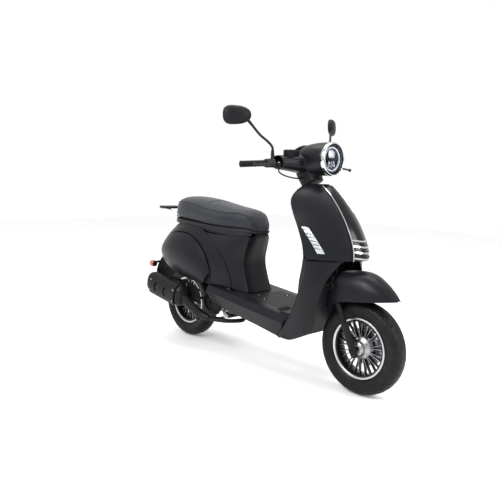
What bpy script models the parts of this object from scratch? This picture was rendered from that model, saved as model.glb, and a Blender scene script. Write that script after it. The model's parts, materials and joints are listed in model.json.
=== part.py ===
"""Moped scooter, modelled as an assembly of separate named pieces.

Metres, +Z up, +X forward, +Y to the rider's left.  All shapes are written in the scooter's own
frame, whose origin is on the ground half way between the two wheel axles.  The empty
"scooter_datum" then moves everything forward by DATUM_X, so that the world origin lies below the
middle of the overall length.
"""
import math

import bmesh
import bpy
import numpy as np
from mathutils import Matrix, Vector

# ---------------------------------------------------------------- driving dimensions
DATUM_X = 0.0308
WHEELBASE = 1.250
TYRE_RADIUS = 0.215
TYRE_HALF_WIDTH = 0.0455
RIM_FLANGE_RADIUS = 0.140
RIM_HALF_WIDTH = 0.034
WHEEL_SEGMENTS = 24
SPOKES = 14
GAP = 0.0004
SKIN = 0.003

RAKE = math.radians(25.5)
FORK_OFFSET = 0.018
FORK_HALF_TRACK = 0.072
SLIDER_RADIUS = 0.017
STANCHION_RADIUS = 0.013
HEAD_BOTTOM = 0.400
HEAD_TOP = 0.760

BAR_RADIUS = 0.011
GRIP_RADIUS = 0.0145
HEADLIGHT_RADIUS = 0.072
HEADLIGHT_X = 0.403
HEADLIGHT_Z = 1.053

# A wheel stands on one flat facet of its tread, so its axle is a facet's distance above the ground.
AXLE_Z = TYRE_RADIUS * math.cos(math.pi / WHEEL_SEGMENTS)
FRONT_AXLE = Vector((WHEELBASE / 2, 0.0, AXLE_Z))
REAR_AXLE = Vector((-WHEELBASE / 2, 0.0, AXLE_Z))

STEER_AXIS = Vector((-math.sin(RAKE), 0.0, math.cos(RAKE)))
STEER_FORWARD = Vector((math.cos(RAKE), 0.0, math.sin(RAKE)))
STEER_FOOT = FRONT_AXLE - STEER_FORWARD * FORK_OFFSET

SWING_PIVOT = Vector((-0.170, 0.0, 0.315))
SHOCK_TOP = Vector((-0.590, 0.112, 0.560))
SHOCK_BOTTOM = Vector((-0.650, 0.112, 0.322))
STAND_PIVOT = Vector((-0.250, 0.0, 0.186))
SEAT_HINGE = Vector((-0.040, 0.0, 0.6580))
KICK_PIVOT = Vector((-0.395, 0.150, 0.235))
KEY_PIVOT = Vector((0.2464, -0.040, 0.800))
KEY_AXIS = Vector((0.90, 0.27, 0.33)).normalized()


# ---------------------------------------------------------------- small geometry helpers
def side_of(sign):
    """Name suffix for the rider's right (-1) or left (+1)."""
    return "right" if sign < 0 else "left"


def smooth_value(points, t):
    """Monotone cubic through hand-set (t, value) points, so an outline never overshoots."""
    xs = np.array([p[0] for p in points], float)
    ys = np.array([p[1] for p in points], float)
    if xs[0] > xs[-1]:
        xs, ys = xs[::-1], ys[::-1]
    t = np.clip(t, xs[0], xs[-1])
    step = np.diff(xs)
    slope = np.diff(ys) / step
    tangent = np.empty_like(ys)
    tangent[0], tangent[-1] = slope[0], slope[-1]
    for i in range(1, len(xs) - 1):
        product = slope[i - 1] * slope[i]
        tangent[i] = 0.0 if product <= 0 else 2 * product / (slope[i - 1] + slope[i])
    i = np.clip(np.searchsorted(xs, t) - 1, 0, len(step) - 1)
    s = (t - xs[i]) / step[i]
    return (
        ys[i] * (2 * s**3 - 3 * s**2 + 1)
        + tangent[i] * step[i] * (s**3 - 2 * s**2 + s)
        + ys[i + 1] * (3 * s**2 - 2 * s**3)
        + tangent[i + 1] * step[i] * (s**3 - s**2)
    )


def smooth_path(points, count):
    """`count` points evenly spread along a Catmull-Rom curve through `points`."""
    pts = [Vector(p) for p in points]
    pts = [2 * pts[0] - pts[1]] + pts + [2 * pts[-1] - pts[-2]]
    dense = []
    for i in range(1, len(pts) - 2):
        a, b, c, d = pts[i - 1 : i + 3]
        for k in range(16):
            t = k / 16
            dense.append(
                0.5 * (2 * b + (c - a) * t + (2 * a - 5 * b + 4 * c - d) * t**2
                       + (3 * b - a - 3 * c + d) * t**3)
            )
    dense.append(pts[-2])
    lengths = [0.0]
    for p, q in zip(dense, dense[1:]):
        lengths.append(lengths[-1] + (q - p).length)
    result = []
    for k in range(count):
        target = lengths[-1] * k / (count - 1)
        j = min(int(np.searchsorted(lengths, target)), len(dense) - 1)
        j = max(j, 1)
        span = lengths[j] - lengths[j - 1]
        share = 0.0 if span == 0 else (target - lengths[j - 1]) / span
        result.append(dense[j - 1].lerp(dense[j], share))
    return result


def fork_point(along, forward=0.0, side=0.0):
    """A point given along the steering axis, ahead of it and to its side."""
    return STEER_FOOT + STEER_AXIS * along + STEER_FORWARD * forward + Vector((0, side, 0))


# ---------------------------------------------------------------- mesh makers
def mesh_from(verts, faces):
    """A mesh whose faces point outwards."""
    mesh = bpy.data.meshes.new("shape")
    mesh.from_pydata([tuple(v) for v in verts], [], faces)
    work = bmesh.new()
    work.from_mesh(mesh)
    bmesh.ops.remove_doubles(work, verts=work.verts, dist=1e-6)
    bmesh.ops.recalc_face_normals(work, faces=work.faces)
    work.to_mesh(mesh)
    work.free()
    return mesh


def loft(rings):
    """Closed solid through rings that all have the same number of points."""
    n = len(rings[0])
    verts = [p for ring in rings for p in ring]
    faces = []
    for i in range(len(rings) - 1):
        for j in range(n):
            k = (j + 1) % n
            faces.append((i * n + j, i * n + k, (i + 1) * n + k, (i + 1) * n + j))
    faces.append(tuple(range(n))[::-1])
    faces.append(tuple(range((len(rings) - 1) * n, len(rings) * n)))
    return mesh_from(verts, faces)


def sheet(grid, thickness, level=False):
    """Closed shell: the grid is one face of the skin, the other lies `thickness` behind it.

    Positive thickness goes against the normal du x dv of the grid.  With level=True the skin is
    measured inside each row's own height, which keeps sloping edges clean.
    """
    outer = np.array([[tuple(p) for p in row] for row in grid], float)
    along_rows = np.gradient(outer, axis=0)
    if level:
        along_rows = np.zeros_like(outer)
        along_rows[:, :, 2] = 1.0
    normal = np.cross(along_rows, np.gradient(outer, axis=1))
    normal /= np.maximum(np.linalg.norm(normal, axis=2, keepdims=True), 1e-12)
    inner = outer - normal * thickness
    rows, cols = outer.shape[:2]
    verts = np.concatenate([outer.reshape(-1, 3), inner.reshape(-1, 3)])
    back = rows * cols
    faces = []
    for i in range(rows - 1):
        for j in range(cols - 1):
            a, b = i * cols + j, i * cols + j + 1
            c, d = b + cols, a + cols
            faces += [(a, b, c), (a, c, d)]
            faces += [(back + c, back + b, back + a), (back + d, back + c, back + a)]
    edge = [(0, j) for j in range(cols)] + [(i, cols - 1) for i in range(1, rows)]
    edge += [(rows - 1, j) for j in range(cols - 2, -1, -1)] + [(i, 0) for i in range(rows - 2, 0, -1)]
    for (i, j), (k, m) in zip(edge, edge[1:] + edge[:1]):
        a, b = i * cols + j, k * cols + m
        faces.append((b, a, back + a, back + b))
    return mesh_from(verts, faces)


def across(axis):
    """Two unit vectors square to an axis."""
    axis = Vector(axis).normalized()
    helper = Vector((0, 1, 0)) if abs(axis.y) < 0.9 else Vector((0, 0, 1))
    first = axis.cross(helper).normalized()
    return first, axis.cross(first).normalized()


def turned(profile, centre, axis, segments=20, ring=False, phase=0.0):
    """Solid of revolution from (radius, distance along axis) points.

    With ring=True the profile is a closed outline; otherwise its two ends are capped.
    """
    axis = Vector(axis).normalized()
    first, second = across(axis)
    rings = []
    for radius, along in profile:
        circle = []
        for k in range(segments):
            angle = phase + 2 * math.pi * k / segments
            radial = first * math.cos(angle) + second * math.sin(angle)
            circle.append(Vector(centre) + axis * along + radial * radius)
        rings.append(circle)
    if not ring:
        return loft(rings)
    verts = [p for circle in rings for p in circle]
    faces = []
    count = len(rings)
    for i in range(count):
        for k in range(segments):
            m = (k + 1) % segments
            j = (i + 1) % count
            faces.append((i * segments + k, i * segments + m, j * segments + m, j * segments + k))
    return mesh_from(verts, faces)


def cylinder(start, end, radius, segments=16):
    """Plain round bar between two points."""
    start, end = Vector(start), Vector(end)
    return turned([(radius, 0), (radius, (end - start).length)], start, end - start, segments)


def pipe(points, radius, sides=8, samples=None):
    """Round bar swept along a smooth curve through the points."""
    path = smooth_path(points, samples) if samples else [Vector(p) for p in points]
    tangents = []
    for i in range(len(path)):
        low, high = max(i - 1, 0), min(i + 1, len(path) - 1)
        tangents.append((path[high] - path[low]).normalized())
    normal = across(tangents[0])[0]
    rings = []
    for p, tangent in zip(path, tangents):
        normal = (normal - tangent * normal.dot(tangent)).normalized()
        other = tangent.cross(normal)
        ring = []
        for k in range(sides):
            angle = 2 * math.pi * k / sides
            ring.append(p + (normal * math.cos(angle) + other * math.sin(angle)) * radius)
        rings.append(ring)
    return loft(rings)


def box(centre, size, matrix=None):
    """Rectangular block, turned about its centre by a rotation matrix."""
    half = Vector(size) / 2
    turn = matrix if matrix else Matrix.Identity(3)
    verts = []
    for x in (-1, 1):
        for y in (-1, 1):
            for z in (-1, 1):
                verts.append(Vector(centre) + turn @ Vector((x * half.x, y * half.y, z * half.z)))
    faces = [(0, 1, 3, 2), (4, 6, 7, 5), (0, 4, 5, 1), (2, 3, 7, 6), (0, 2, 6, 4), (1, 5, 7, 3)]
    return mesh_from(verts, faces)


def rounded_ring(centre, right, up, half_width, half_height, power=2.6, count=16):
    """Superellipse outline in the plane of two vectors."""
    ring = []
    for k in range(count):
        angle = 2 * math.pi * (k + 0.5) / count
        c, s = math.cos(angle), math.sin(angle)
        x = math.copysign(abs(c) ** (2 / power), c) * half_width
        y = math.copysign(abs(s) ** (2 / power), s) * half_height
        ring.append(Vector(centre) + Vector(right) * x + Vector(up) * y)
    return ring


def joined(meshes):
    """Several meshes as one, without welding them."""
    work = bmesh.new()
    for mesh in meshes:
        work.from_mesh(mesh)
    result = bpy.data.meshes.new("shape")
    work.to_mesh(result)
    work.free()
    return result


def boolean(base, tools, operation):
    """`base` with each tool united with it, or cut from it."""
    host = bpy.data.objects.new("host", base)
    bpy.context.scene.collection.objects.link(host)
    helpers = [host]
    for mesh in tools:
        helper = bpy.data.objects.new("tool", mesh)
        bpy.context.scene.collection.objects.link(helper)
        helpers.append(helper)
        modifier = host.modifiers.new("step", "BOOLEAN")
        modifier.operation = operation
        modifier.solver = "EXACT"
        modifier.object = helper
    evaluated = host.evaluated_get(bpy.context.evaluated_depsgraph_get())
    result = bpy.data.meshes.new_from_object(evaluated)
    for helper in helpers:
        bpy.data.objects.remove(helper)
    return result


def united(base, *tools):
    return boolean(base, tools, "UNION")


def cut(base, *tools):
    return boolean(base, tools, "DIFFERENCE")


# ---------------------------------------------------------------- materials
LOOKS = {
    "body_paint": ((0.030, 0.031, 0.036), 0.42, 0.1),
    "gloss_black": ((0.008, 0.008, 0.010), 0.10, 0.0),
    "black_plastic": ((0.018, 0.018, 0.020), 0.55, 0.0),
    "seat_vinyl": ((0.045, 0.047, 0.053), 0.55, 0.0),
    "rubber": ((0.016, 0.016, 0.018), 0.70, 0.0),
    "tyre_rubber": ((0.014, 0.015, 0.017), 0.62, 0.0),
    "chrome": ((0.80, 0.80, 0.82), 0.08, 1.0),
    "aluminium": ((0.62, 0.62, 0.63), 0.30, 1.0),
    "cast_aluminium": ((0.40, 0.40, 0.41), 0.45, 1.0),
    "black_steel": ((0.020, 0.020, 0.022), 0.38, 0.5),
    "steel": ((0.52, 0.52, 0.53), 0.30, 1.0),
    "amber_lens": ((0.75, 0.20, 0.03), 0.20, 0.0),
    "red_lens": ((0.50, 0.02, 0.02), 0.15, 0.0),
    "clear_lens": ((0.75, 0.78, 0.82), 0.08, 0.0),
    "dial_glass": ((0.05, 0.06, 0.07), 0.08, 0.0),
    "red_plastic": ((0.60, 0.03, 0.02), 0.35, 0.0),
    "yellow_plastic": ((0.70, 0.50, 0.05), 0.35, 0.0),
}


def look(name):
    """The Principled material of that name, made once."""
    material = bpy.data.materials.get(name)
    if material is None:
        colour, roughness, metallic = LOOKS[name]
        material = bpy.data.materials.new(name)
        material.use_nodes = True
        shader = material.node_tree.nodes["Principled BSDF"]
        shader.inputs["Base Color"].default_value = (*colour, 1.0)
        shader.inputs["Roughness"].default_value = roughness
        shader.inputs["Metallic"].default_value = metallic
        material.diffuse_color = (*colour, 1.0)
    return material


# ---------------------------------------------------------------- bodies and parts
BODIES = {}


def add_body(name, pivot, parent=None):
    """An empty on the joint's axis, which carries the pieces that move together."""
    empty = bpy.data.objects.new(name, None)
    bpy.context.scene.collection.objects.link(empty)
    pivot = Vector(pivot)
    base = Vector((0, 0, 0))
    if parent:
        empty.parent, base = BODIES[parent]
    empty.location = pivot - base
    BODIES[name] = (empty, pivot)


def add_part(name, mesh, look_name, body, sharp=35):
    """A named object with its origin on its body's pivot."""
    empty, pivot = BODIES[body]
    mesh.name = name
    mesh.transform(Matrix.Translation(-pivot))
    mesh.shade_smooth()
    mesh.set_sharp_from_angle(angle=math.radians(sharp))
    mesh.materials.clear()
    mesh.materials.append(look(look_name))
    part = bpy.data.objects.new(name, mesh)
    part.parent = empty
    bpy.context.scene.collection.objects.link(part)
    return part


def make_bodies():
    datum = bpy.data.objects.new("scooter_datum", None)
    datum.location = (DATUM_X, 0, 0)
    bpy.context.scene.collection.objects.link(datum)
    BODIES["datum"] = (datum, Vector((0, 0, 0)))
    add_body("chassis", (0, 0, 0), "datum")
    add_body("seat", SEAT_HINGE, "datum")
    add_body("key", KEY_PIVOT, "datum")
    add_body("swing_unit", SWING_PIVOT, "datum")
    add_body("rear_wheel", REAR_AXLE, "swing_unit")
    add_body("stand", STAND_PIVOT, "swing_unit")
    add_body("kick_lever", KICK_PIVOT, "swing_unit")
    add_body("shock_upper", SHOCK_TOP, "datum")
    add_body("shock_lower", SHOCK_BOTTOM, "shock_upper")
    add_body("steering", fork_point(HEAD_BOTTOM), "datum")
    add_body("fork_lower", fork_point(0), "steering")
    add_body("front_wheel", FRONT_AXLE, "fork_lower")
    add_body("throttle", bar_point(-1, 0.0), "steering")
    add_body("lever_right", lever_pivot(-1), "steering")
    add_body("lever_left", lever_pivot(1), "steering")
    add_body("starter", button_point(-1), "steering")
    add_body("horn", button_point(1), "steering")
    add_body("mirror_right_arm", mirror_foot(-1), "steering")
    add_body("mirror_left_arm", mirror_foot(1), "steering")


# ---------------------------------------------------------------- wheels
def tyre(centre):
    """Hollow carcass with its beads inside the rim's flanges, and a flat tread band."""
    half = [
        (0.1280, 0.0292), (0.1412, 0.0292), (0.1600, 0.0440), (0.1880, TYRE_HALF_WIDTH),
        (0.2070, 0.0330), (TYRE_RADIUS, 0.0190),
    ]
    inside = [(0.2060, 0.0165), (0.1800, 0.0385), (0.1280, 0.0165)]
    outline = half + [(r, -y) for r, y in reversed(half)]
    outline += [(r, -y) for r, y in reversed(inside)] + inside
    return turned(outline, centre, (0, 1, 0), WHEEL_SEGMENTS, ring=True, phase=math.pi / WHEEL_SEGMENTS)


def rim(centre, hub_profile, bore):
    """Rim barrel, hub and thin spokes set in pairs, cast in one."""
    half = [(0.1190, RIM_HALF_WIDTH), (RIM_FLANGE_RADIUS, RIM_HALF_WIDTH),
            (RIM_FLANGE_RADIUS, 0.0298), (0.1265, 0.0296)]
    outline = half + [(r, -y) for r, y in reversed(half)]
    barrel = turned(outline, centre, (0, 1, 0), WHEEL_SEGMENTS, ring=True, phase=math.pi / WHEEL_SEGMENTS)
    hub = turned(hub_profile, centre, (0, 1, 0), 12)
    spokes = []
    for k in range(SPOKES):
        pair, member = divmod(k, 2)
        inner = 2 * math.pi * (pair + 0.30 + 0.30 * member) / (SPOKES / 2)
        outer = 2 * math.pi * (pair + 0.18 + 0.54 * member) / (SPOKES / 2)
        rings = []
        for radius, angle, thick, deep in ((0.030, inner, 0.0060, 0.016), (0.1225, outer, 0.0050, 0.012)):
            along = Vector((math.cos(angle), 0, math.sin(angle)))
            wide = Vector((-math.sin(angle), 0, math.cos(angle))) * thick / 2
            middle = centre + along * radius
            deep = Vector((0, deep, 0)) / 1.6
            rings.append([middle + wide + deep, middle + wide - deep, middle - wide - deep,
                          middle - wide + deep])
        spokes.append(loft(rings))
    wheel = united(barrel, joined(spokes), hub)
    return cut(wheel, cylinder(centre - Vector((0, 0.2, 0)), centre + Vector((0, 0.2, 0)), bore, 10))


def make_wheels():
    add_part("front_tyre", tyre(FRONT_AXLE), "tyre_rubber", "front_wheel")
    add_part("rear_tyre", tyre(REAR_AXLE), "tyre_rubber", "rear_wheel")
    front_hub = [(0.020, -0.0480), (0.030, -0.0400), (0.046, -0.0150), (0.046, 0.0120), (0.032, 0.0300),
                 (0.032, 0.0480)]
    add_part("front_rim", rim(FRONT_AXLE, front_hub, 0.0076), "aluminium", "front_wheel")
    rear_hub = [(0.024, -0.0420), (0.040, -0.0350), (0.056, -0.0120), (0.056, 0.0380)]
    add_part("rear_rim", rim(REAR_AXLE, rear_hub, 0.0106), "aluminium", "rear_wheel")
    disc = turned([(0.0326, 0.0400), (0.0900, 0.0400), (0.0900, 0.0436), (0.0326, 0.0436)],
                  FRONT_AXLE, (0, 1, 0), 24, ring=True)
    add_part("brake_disc", disc, "steel", "front_wheel")


# ---------------------------------------------------------------- fork
def make_fork():
    """Fork sliders with the wheel axle, brake caliper and its hose."""
    sliders = []
    for sign in (-1, 1):
        side = sign * FORK_HALF_TRACK
        profile = [(0.012, -0.034), (SLIDER_RADIUS, -0.024), (SLIDER_RADIUS, 0.126), (0.0138, 0.128),
                   (0.0138, 0.012), (0.004, 0.010)]
        sliders.append(turned(profile, fork_point(0, FORK_OFFSET, side), STEER_AXIS, 12))
    axle = cylinder(FRONT_AXLE - Vector((0, 0.094, 0)), FRONT_AXLE + Vector((0, 0.094, 0)), 0.0068, 8)
    add_part("fork_sliders", united(sliders[0], sliders[1], axle), "black_steel", "fork_lower")

    away = Vector((-math.cos(math.radians(12)), 0, math.sin(math.radians(12))))
    lift = Vector((away.z, 0, -away.x))
    turn = Matrix((away, Vector((0, 1, 0)), lift)).transposed()
    middle = FRONT_AXLE + away * 0.0830 + Vector((0, 0.0452, 0))
    body = box(middle, (0.040, 0.0190, 0.058), turn)
    slot = box(middle - away * 0.013 - Vector((0, 0.0034, 0)), (0.050, 0.0050, 0.070), turn)
    add_part("brake_caliper", cut(body, slot), "cast_aluminium", "fork_lower")

    start = middle + lift * 0.0295 + Vector((0, 0.003, 0))
    route = [start + lift * 0.001, start + lift * 0.030, fork_point(0.150, -0.046, 0.066),
             fork_point(0.215, -0.034, 0.056)]
    add_part("lower_brake_hose", pipe(route, 0.0032, 5, 8), "rubber", "fork_lower")


# ---------------------------------------------------------------- front body
SHIELD_CENTRE = [(0.945, 0.374), (0.885, 0.442), (0.820, 0.503), (0.760, 0.549), (0.700, 0.584),
                 (0.650, 0.606), (0.620, 0.612), (0.590, 0.608), (0.560, 0.596)]
SHIELD_EDGE = [(0.935, 0.303), (0.880, 0.302), (0.852, 0.310), (0.817, 0.335), (0.765, 0.367),
               (0.704, 0.395), (0.644, 0.417), (0.591, 0.427), (0.555, 0.420), (0.508, 0.408),
               (0.451, 0.391), (0.366, 0.358), (0.260, 0.295), (0.215, 0.262)]
SHIELD_HALF_WIDTH = [(0.945, 0.055), (0.925, 0.095), (0.903, 0.140), (0.880, 0.165), (0.852, 0.180),
                     (0.817, 0.190), (0.765, 0.196), (0.704, 0.196), (0.644, 0.193), (0.555, 0.188),
                     (0.451, 0.183), (0.366, 0.180), (0.215, 0.172)]
TIE_HALF_WIDTH = [(0.945, 0.034), (0.860, 0.038), (0.740, 0.046), (0.600, 0.053)]
COVER_BOTTOM = 0.603
COVER_TOP = 0.938


def shield_point(z, t, out=0.0):
    """Front skin of the leg shield; t runs from -1 (right edge) to 1, `out` lifts off the skin."""
    def skin(z, t):
        centre = smooth_value(SHIELD_CENTRE, z)
        edge = smooth_value(SHIELD_EDGE, z)
        width = smooth_value(SHIELD_HALF_WIDTH, z)
        return Vector((centre - (centre - edge) * abs(t) ** 1.7, t * width, z))
    here = skin(z, t)
    if out == 0.0:
        return here
    out += 0.003 * min(max((z - 0.84) / 0.06, 0.0), 1.0)
    side = skin(z, min(t + 0.01, 1)) - skin(z, max(t - 0.01, -1))
    rise = skin(min(z + 0.004, COVER_TOP), t) - skin(max(z - 0.004, COVER_BOTTOM), t)
    return here + side.cross(rise).normalized() * out


def tie_share(z, y):
    return y / smooth_value(SHIELD_HALF_WIDTH, z)


def make_front_cover():
    rows, cols = 10, 14
    grid = []
    for i in range(rows):
        z = COVER_BOTTOM + (COVER_TOP - COVER_BOTTOM) * i / (rows - 1)
        grid.append([shield_point(z, -1 + 2 * j / cols) for j in range(cols + 1)])
    add_part("front_cover", sheet(grid, -SKIN), "body_paint", "chassis")


def make_tie():
    """Gloss centre strip, the chrome strips on its edges and its four fins."""
    rows, cols = 10, 4
    low, high = COVER_BOTTOM + 0.002, COVER_TOP - 0.012
    grid = []
    for i in range(rows):
        z = low + (high - low) * i / (rows - 1)
        half = smooth_value(TIE_HALF_WIDTH, z)
        row = []
        for j in range(cols + 1):
            row.append(shield_point(z, tie_share(z, half * (-1 + 2 * j / cols)), 0.0052))
        grid.append(row)
    add_part("tie_cover", sheet(grid, -0.0040), "gloss_black", "chassis")

    def bar(z_from, z_to, y_from, y_to, base, top, steps):
        rings = []
        for k in range(steps + 1):
            s = k / steps
            z = z_from + (z_to - z_from) * s
            half = smooth_value(TIE_HALF_WIDTH, z)
            a, b = y_from(half, s), y_to(half, s)
            rings.append([shield_point(z, tie_share(z, a), base), shield_point(z, tie_share(z, b), base),
                          shield_point(z, tie_share(z, b), top), shield_point(z, tie_share(z, a), top)])
        return loft(rings)

    strips = []
    for sign in (-1, 1):
        strips.append(bar(low, high, lambda h, s: sign * (h + 0.0006), lambda h, s: sign * (h + 0.0042),
                          0.0010, 0.0072, 9))
    fins = []
    for k in range(4):
        z = 0.619 + 0.0245 * k
        rings = []
        for j in range(7):
            t = -1 + j / 3
            half = smooth_value(TIE_HALF_WIDTH, z) + 0.002
            drop = 0.007 * (1 - abs(t))
            rings.append([shield_point(z - drop + dz, tie_share(z, half * t), lift)
                          for dz, lift in ((-0.0035, 0.0058), (0.0035, 0.0058), (0.0035, 0.0096),
                                           (-0.0035, 0.0106))])
        fins.append(loft(rings))
    trim = united(strips[0], *fins)
    add_part("tie_trim", united(trim, strips[1]), "chrome", "chassis")


def make_front_indicators():
    """Slanted clear lenses set on the leg shield beside the bulge."""
    corners = [((0.745, 0.860), (0.745, 0.948)), ((0.632, 0.735), (0.627, 0.835))]
    for sign in (-1, 1):
        grid = []
        for i in range(4):
            s = i / 3
            z = corners[0][0][0] + (corners[1][0][0] - corners[0][0][0]) * s
            inner = corners[0][0][1] + (corners[1][0][1] - corners[0][0][1]) * s
            outer = corners[0][1][1] + (corners[1][1][1] - corners[0][1][1]) * s
            grid.append([shield_point(z, sign * (outer + (inner - outer) * j / 4),
                                      0.0052) for j in range(5)])
        lens = sheet(grid, sign * 0.0044)
        add_part("front_indicator_" + side_of(sign), lens, "clear_lens", "chassis")


ARCH_EDGE_X = [(0.597, 0.538), (0.573, 0.520), (0.536, 0.512), (0.486, 0.500), (0.435, 0.486),
               (0.400, 0.478), (0.334, 0.484), (0.280, 0.470), (0.240, 0.420), (0.212, 0.350)]
ARCH_EDGE_Y = [(0.597, 0.058), (0.573, 0.092), (0.536, 0.122), (0.486, 0.146), (0.435, 0.158),
               (0.400, 0.163), (0.334, 0.168), (0.280, 0.168), (0.212, 0.166)]
WELL_X = [(0.600, 0.372), (0.540, 0.368), (0.450, 0.361), (0.350, 0.350), (0.290, 0.342), (0.205, 0.334)]
INNER_X = [(0.940, 0.287), (0.850, 0.292), (0.765, 0.345), (0.700, 0.366), (0.640, 0.368), (0.600, 0.362),
           (0.540, 0.356), (0.450, 0.347), (0.350, 0.334), (0.320, 0.330)]
INNER_INSET = [(0.920, 0.016), (0.850, 0.018), (0.765, 0.024), (0.704, 0.032), (0.650, 0.050),
               (0.600, 0.064), (0.550, 0.062), (0.500, 0.054), (0.450, 0.044), (0.366, 0.038), (0.320,
                                                                                                0.036)]
COLUMN_SWELL = [(0.940, 0.064), (0.860, 0.066), (0.765, 0.090), (0.700, 0.088), (0.600, 0.062),
                (0.520, 0.050),
                (0.450, 0.050), (0.350, 0.049), (0.320, 0.048)]


def make_wheel_arch():
    """Lower wings of the leg shield and the wall behind the front wheel, as one wrapped skin."""
    rows = 8
    grid = []
    for i in range(rows):
        z = 0.212 + (0.597 - 0.212) * i / (rows - 1)
        front = Vector((smooth_value(ARCH_EDGE_X, z), smooth_value(ARCH_EDGE_Y, z), z))
        edge = Vector((smooth_value(SHIELD_EDGE, z) + 0.004, smooth_value(SHIELD_HALF_WIDTH, z), z))
        well = Vector((smooth_value(WELL_X, z), edge.y - 0.032, z))
        bulge = Vector((0.012, 0.014, 0))
        half = [front]
        for s in (0.3, 0.65):
            half.append(front.lerp(edge, s) + bulge * 4 * s * (1 - s))
        half += [edge, edge - Vector((0.010, 0.009, 0)), edge - Vector((0.007, 0.027, 0)), well,
                 Vector((well.x, well.y * 0.45, z))]
        grid.append([Vector((p.x, -p.y, p.z)) for p in half] + [p for p in reversed(half)])
    add_part("wheel_arch", sheet(grid, -SKIN, level=True), "body_paint", "chassis")


def make_inner_shield():
    """Rider-side skin: flat near its edges, swollen in the middle round the steering column."""
    rows, cols = 10, 8
    grid = []
    for i in range(rows):
        row = []
        for j in range(cols + 1):
            t = -1 + 2 * j / cols
            high = 0.892 + 0.020 * min(1.0, abs(t) / 0.8) ** 2
            z = 0.326 + (high - 0.326) * i / (rows - 1)
            width = smooth_value(SHIELD_HALF_WIDTH, z) - smooth_value(INNER_INSET, z)
            swell = smooth_value(COLUMN_SWELL, z) * math.cos(math.pi / 2 * min(abs(t) / 0.75, 1.0)) ** 0.8
            row.append(Vector((smooth_value(INNER_X, z) - swell, t * width, z)))
        grid.append(row)
    add_part("inner_shield", sheet(grid, 0.0022, level=True), "black_plastic", "chassis")


def make_ignition():
    """Lock barrel with its key, on the rider side of the leg shield."""
    barrel = turned([(0.012, -0.0040), (0.012, -0.0095), (0.009, -0.0105)], KEY_PIVOT, KEY_AXIS, 12)
    side, rise = across(KEY_AXIS)
    turn = Matrix((KEY_AXIS, side, rise)).transposed()
    blade = box(KEY_PIVOT - KEY_AXIS * 0.022, (0.026, 0.0026, 0.020), turn)
    add_part("ignition_key", united(barrel, blade), "steel", "key")


# ---------------------------------------------------------------- fender, stem and headset
FENDER_TOP = [(0.450, 0.522), (0.500, 0.545), (0.560, 0.559), (0.637, 0.562), (0.669, 0.555),
              (0.707, 0.534),
              (0.749, 0.504), (0.775, 0.482), (0.800, 0.458)]
FENDER_LOW = [(0.450, 0.345), (0.475, 0.370), (0.505, 0.404), (0.555, 0.423), (0.610, 0.430),
              (0.662, 0.436),
              (0.748, 0.446), (0.800, 0.452)]
FENDER_HALF_WIDTH = [(0.450, 0.091), (0.540, 0.092), (0.620, 0.089), (0.690, 0.077), (0.740, 0.057),
                     (0.780, 0.031), (0.800, 0.010)]


def make_fender():
    rows, cols = 9, 10
    grid = []
    for i in range(rows):
        s = i / (rows - 1)
        x = 0.480 + (0.800 - 0.480) * (1 - (1 - s) ** 1.25)
        power = 0.58 + 0.30 * min(s * 1.6, 1.0)
        top, low = smooth_value(FENDER_TOP, x), smooth_value(FENDER_LOW, x)
        width = smooth_value(FENDER_HALF_WIDTH, x)
        row = []
        for j in range(cols + 1):
            angle = math.pi / 2 * (-1 + 2 * j / cols)
            y = width * math.copysign(abs(math.sin(angle)) ** power, angle)
            row.append(Vector((x, y, low + (top - low) * math.cos(angle) ** power)))
        grid.append(row)
    shell = sheet(grid, SKIN)
    turn = Matrix((STEER_FORWARD, Vector((0, 1, 0)), STEER_AXIS)).transposed()
    yoke_room = box(fork_point(0.320, 0.009), (0.082, 0.300, 0.074), turn)
    add_part("front_fender", cut(shell, yoke_room), "body_paint", "steering")


def make_stem():
    """Steering stem, its two bearing cones, the lower yoke and the fixed fork tubes."""
    stem = turned([(0.014, 0.322), (0.014, 0.380), (0.0245, 0.382), (0.0245, HEAD_BOTTOM - GAP),
                   (0.0192, HEAD_BOTTOM), (0.014, HEAD_BOTTOM + 0.012), (0.014, HEAD_TOP - 0.012),
                   (0.0192, HEAD_TOP), (0.0245, HEAD_TOP + GAP), (0.0245, HEAD_TOP + 0.016),
                   (0.015, HEAD_TOP + 0.017), (0.015, 0.855)], STEER_FOOT, STEER_AXIS, 16)
    turn = Matrix((STEER_FORWARD, Vector((0, 1, 0)), STEER_AXIS)).transposed()
    yoke = box(fork_point(0.325, 0.009), (0.062, 2 * FORK_HALF_TRACK + 0.036, 0.026), turn)
    tubes = []
    for sign in (-1, 1):
        start = fork_point(0.070, FORK_OFFSET, sign * FORK_HALF_TRACK)
        end = fork_point(0.338, FORK_OFFSET, sign * FORK_HALF_TRACK)
        tubes.append(cylinder(start, end, STANCHION_RADIUS, 12))
    add_part("steering_stem", united(stem, yoke, *tubes), "black_steel", "steering")


BAR_RIGHT = [(0.2330, 0.000, 1.008), (0.2300, -0.090, 1.018), (0.2120, -0.195, 1.027),
             (0.1600, -0.350, 1.0155)]


def bar_point(sign, s):
    """Point on the straight grip stretch: s is 0 at its inner end and 1 at the bar end."""
    inner, outer = Vector(BAR_RIGHT[2]), Vector(BAR_RIGHT[3])
    p = inner.lerp(outer, s)
    return Vector((p.x, -sign * p.y, p.z))


def grip_axis(sign):
    return (bar_point(sign, 1) - bar_point(sign, 0)).normalized()


def lever_pivot(sign):
    return bar_point(sign, 0.06) + Vector((0.046, 0, -0.004))


def button_point(sign):
    towards_rider = Vector((-0.94, 0, 0.34))
    axis = grip_axis(sign)
    return bar_point(sign, 0.15) + (towards_rider - axis * axis.dot(towards_rider)).normalized() * 0.018


def mirror_foot(sign):
    return bar_point(sign, 0.03) + Vector((-0.002, 0, 0.030))


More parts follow.
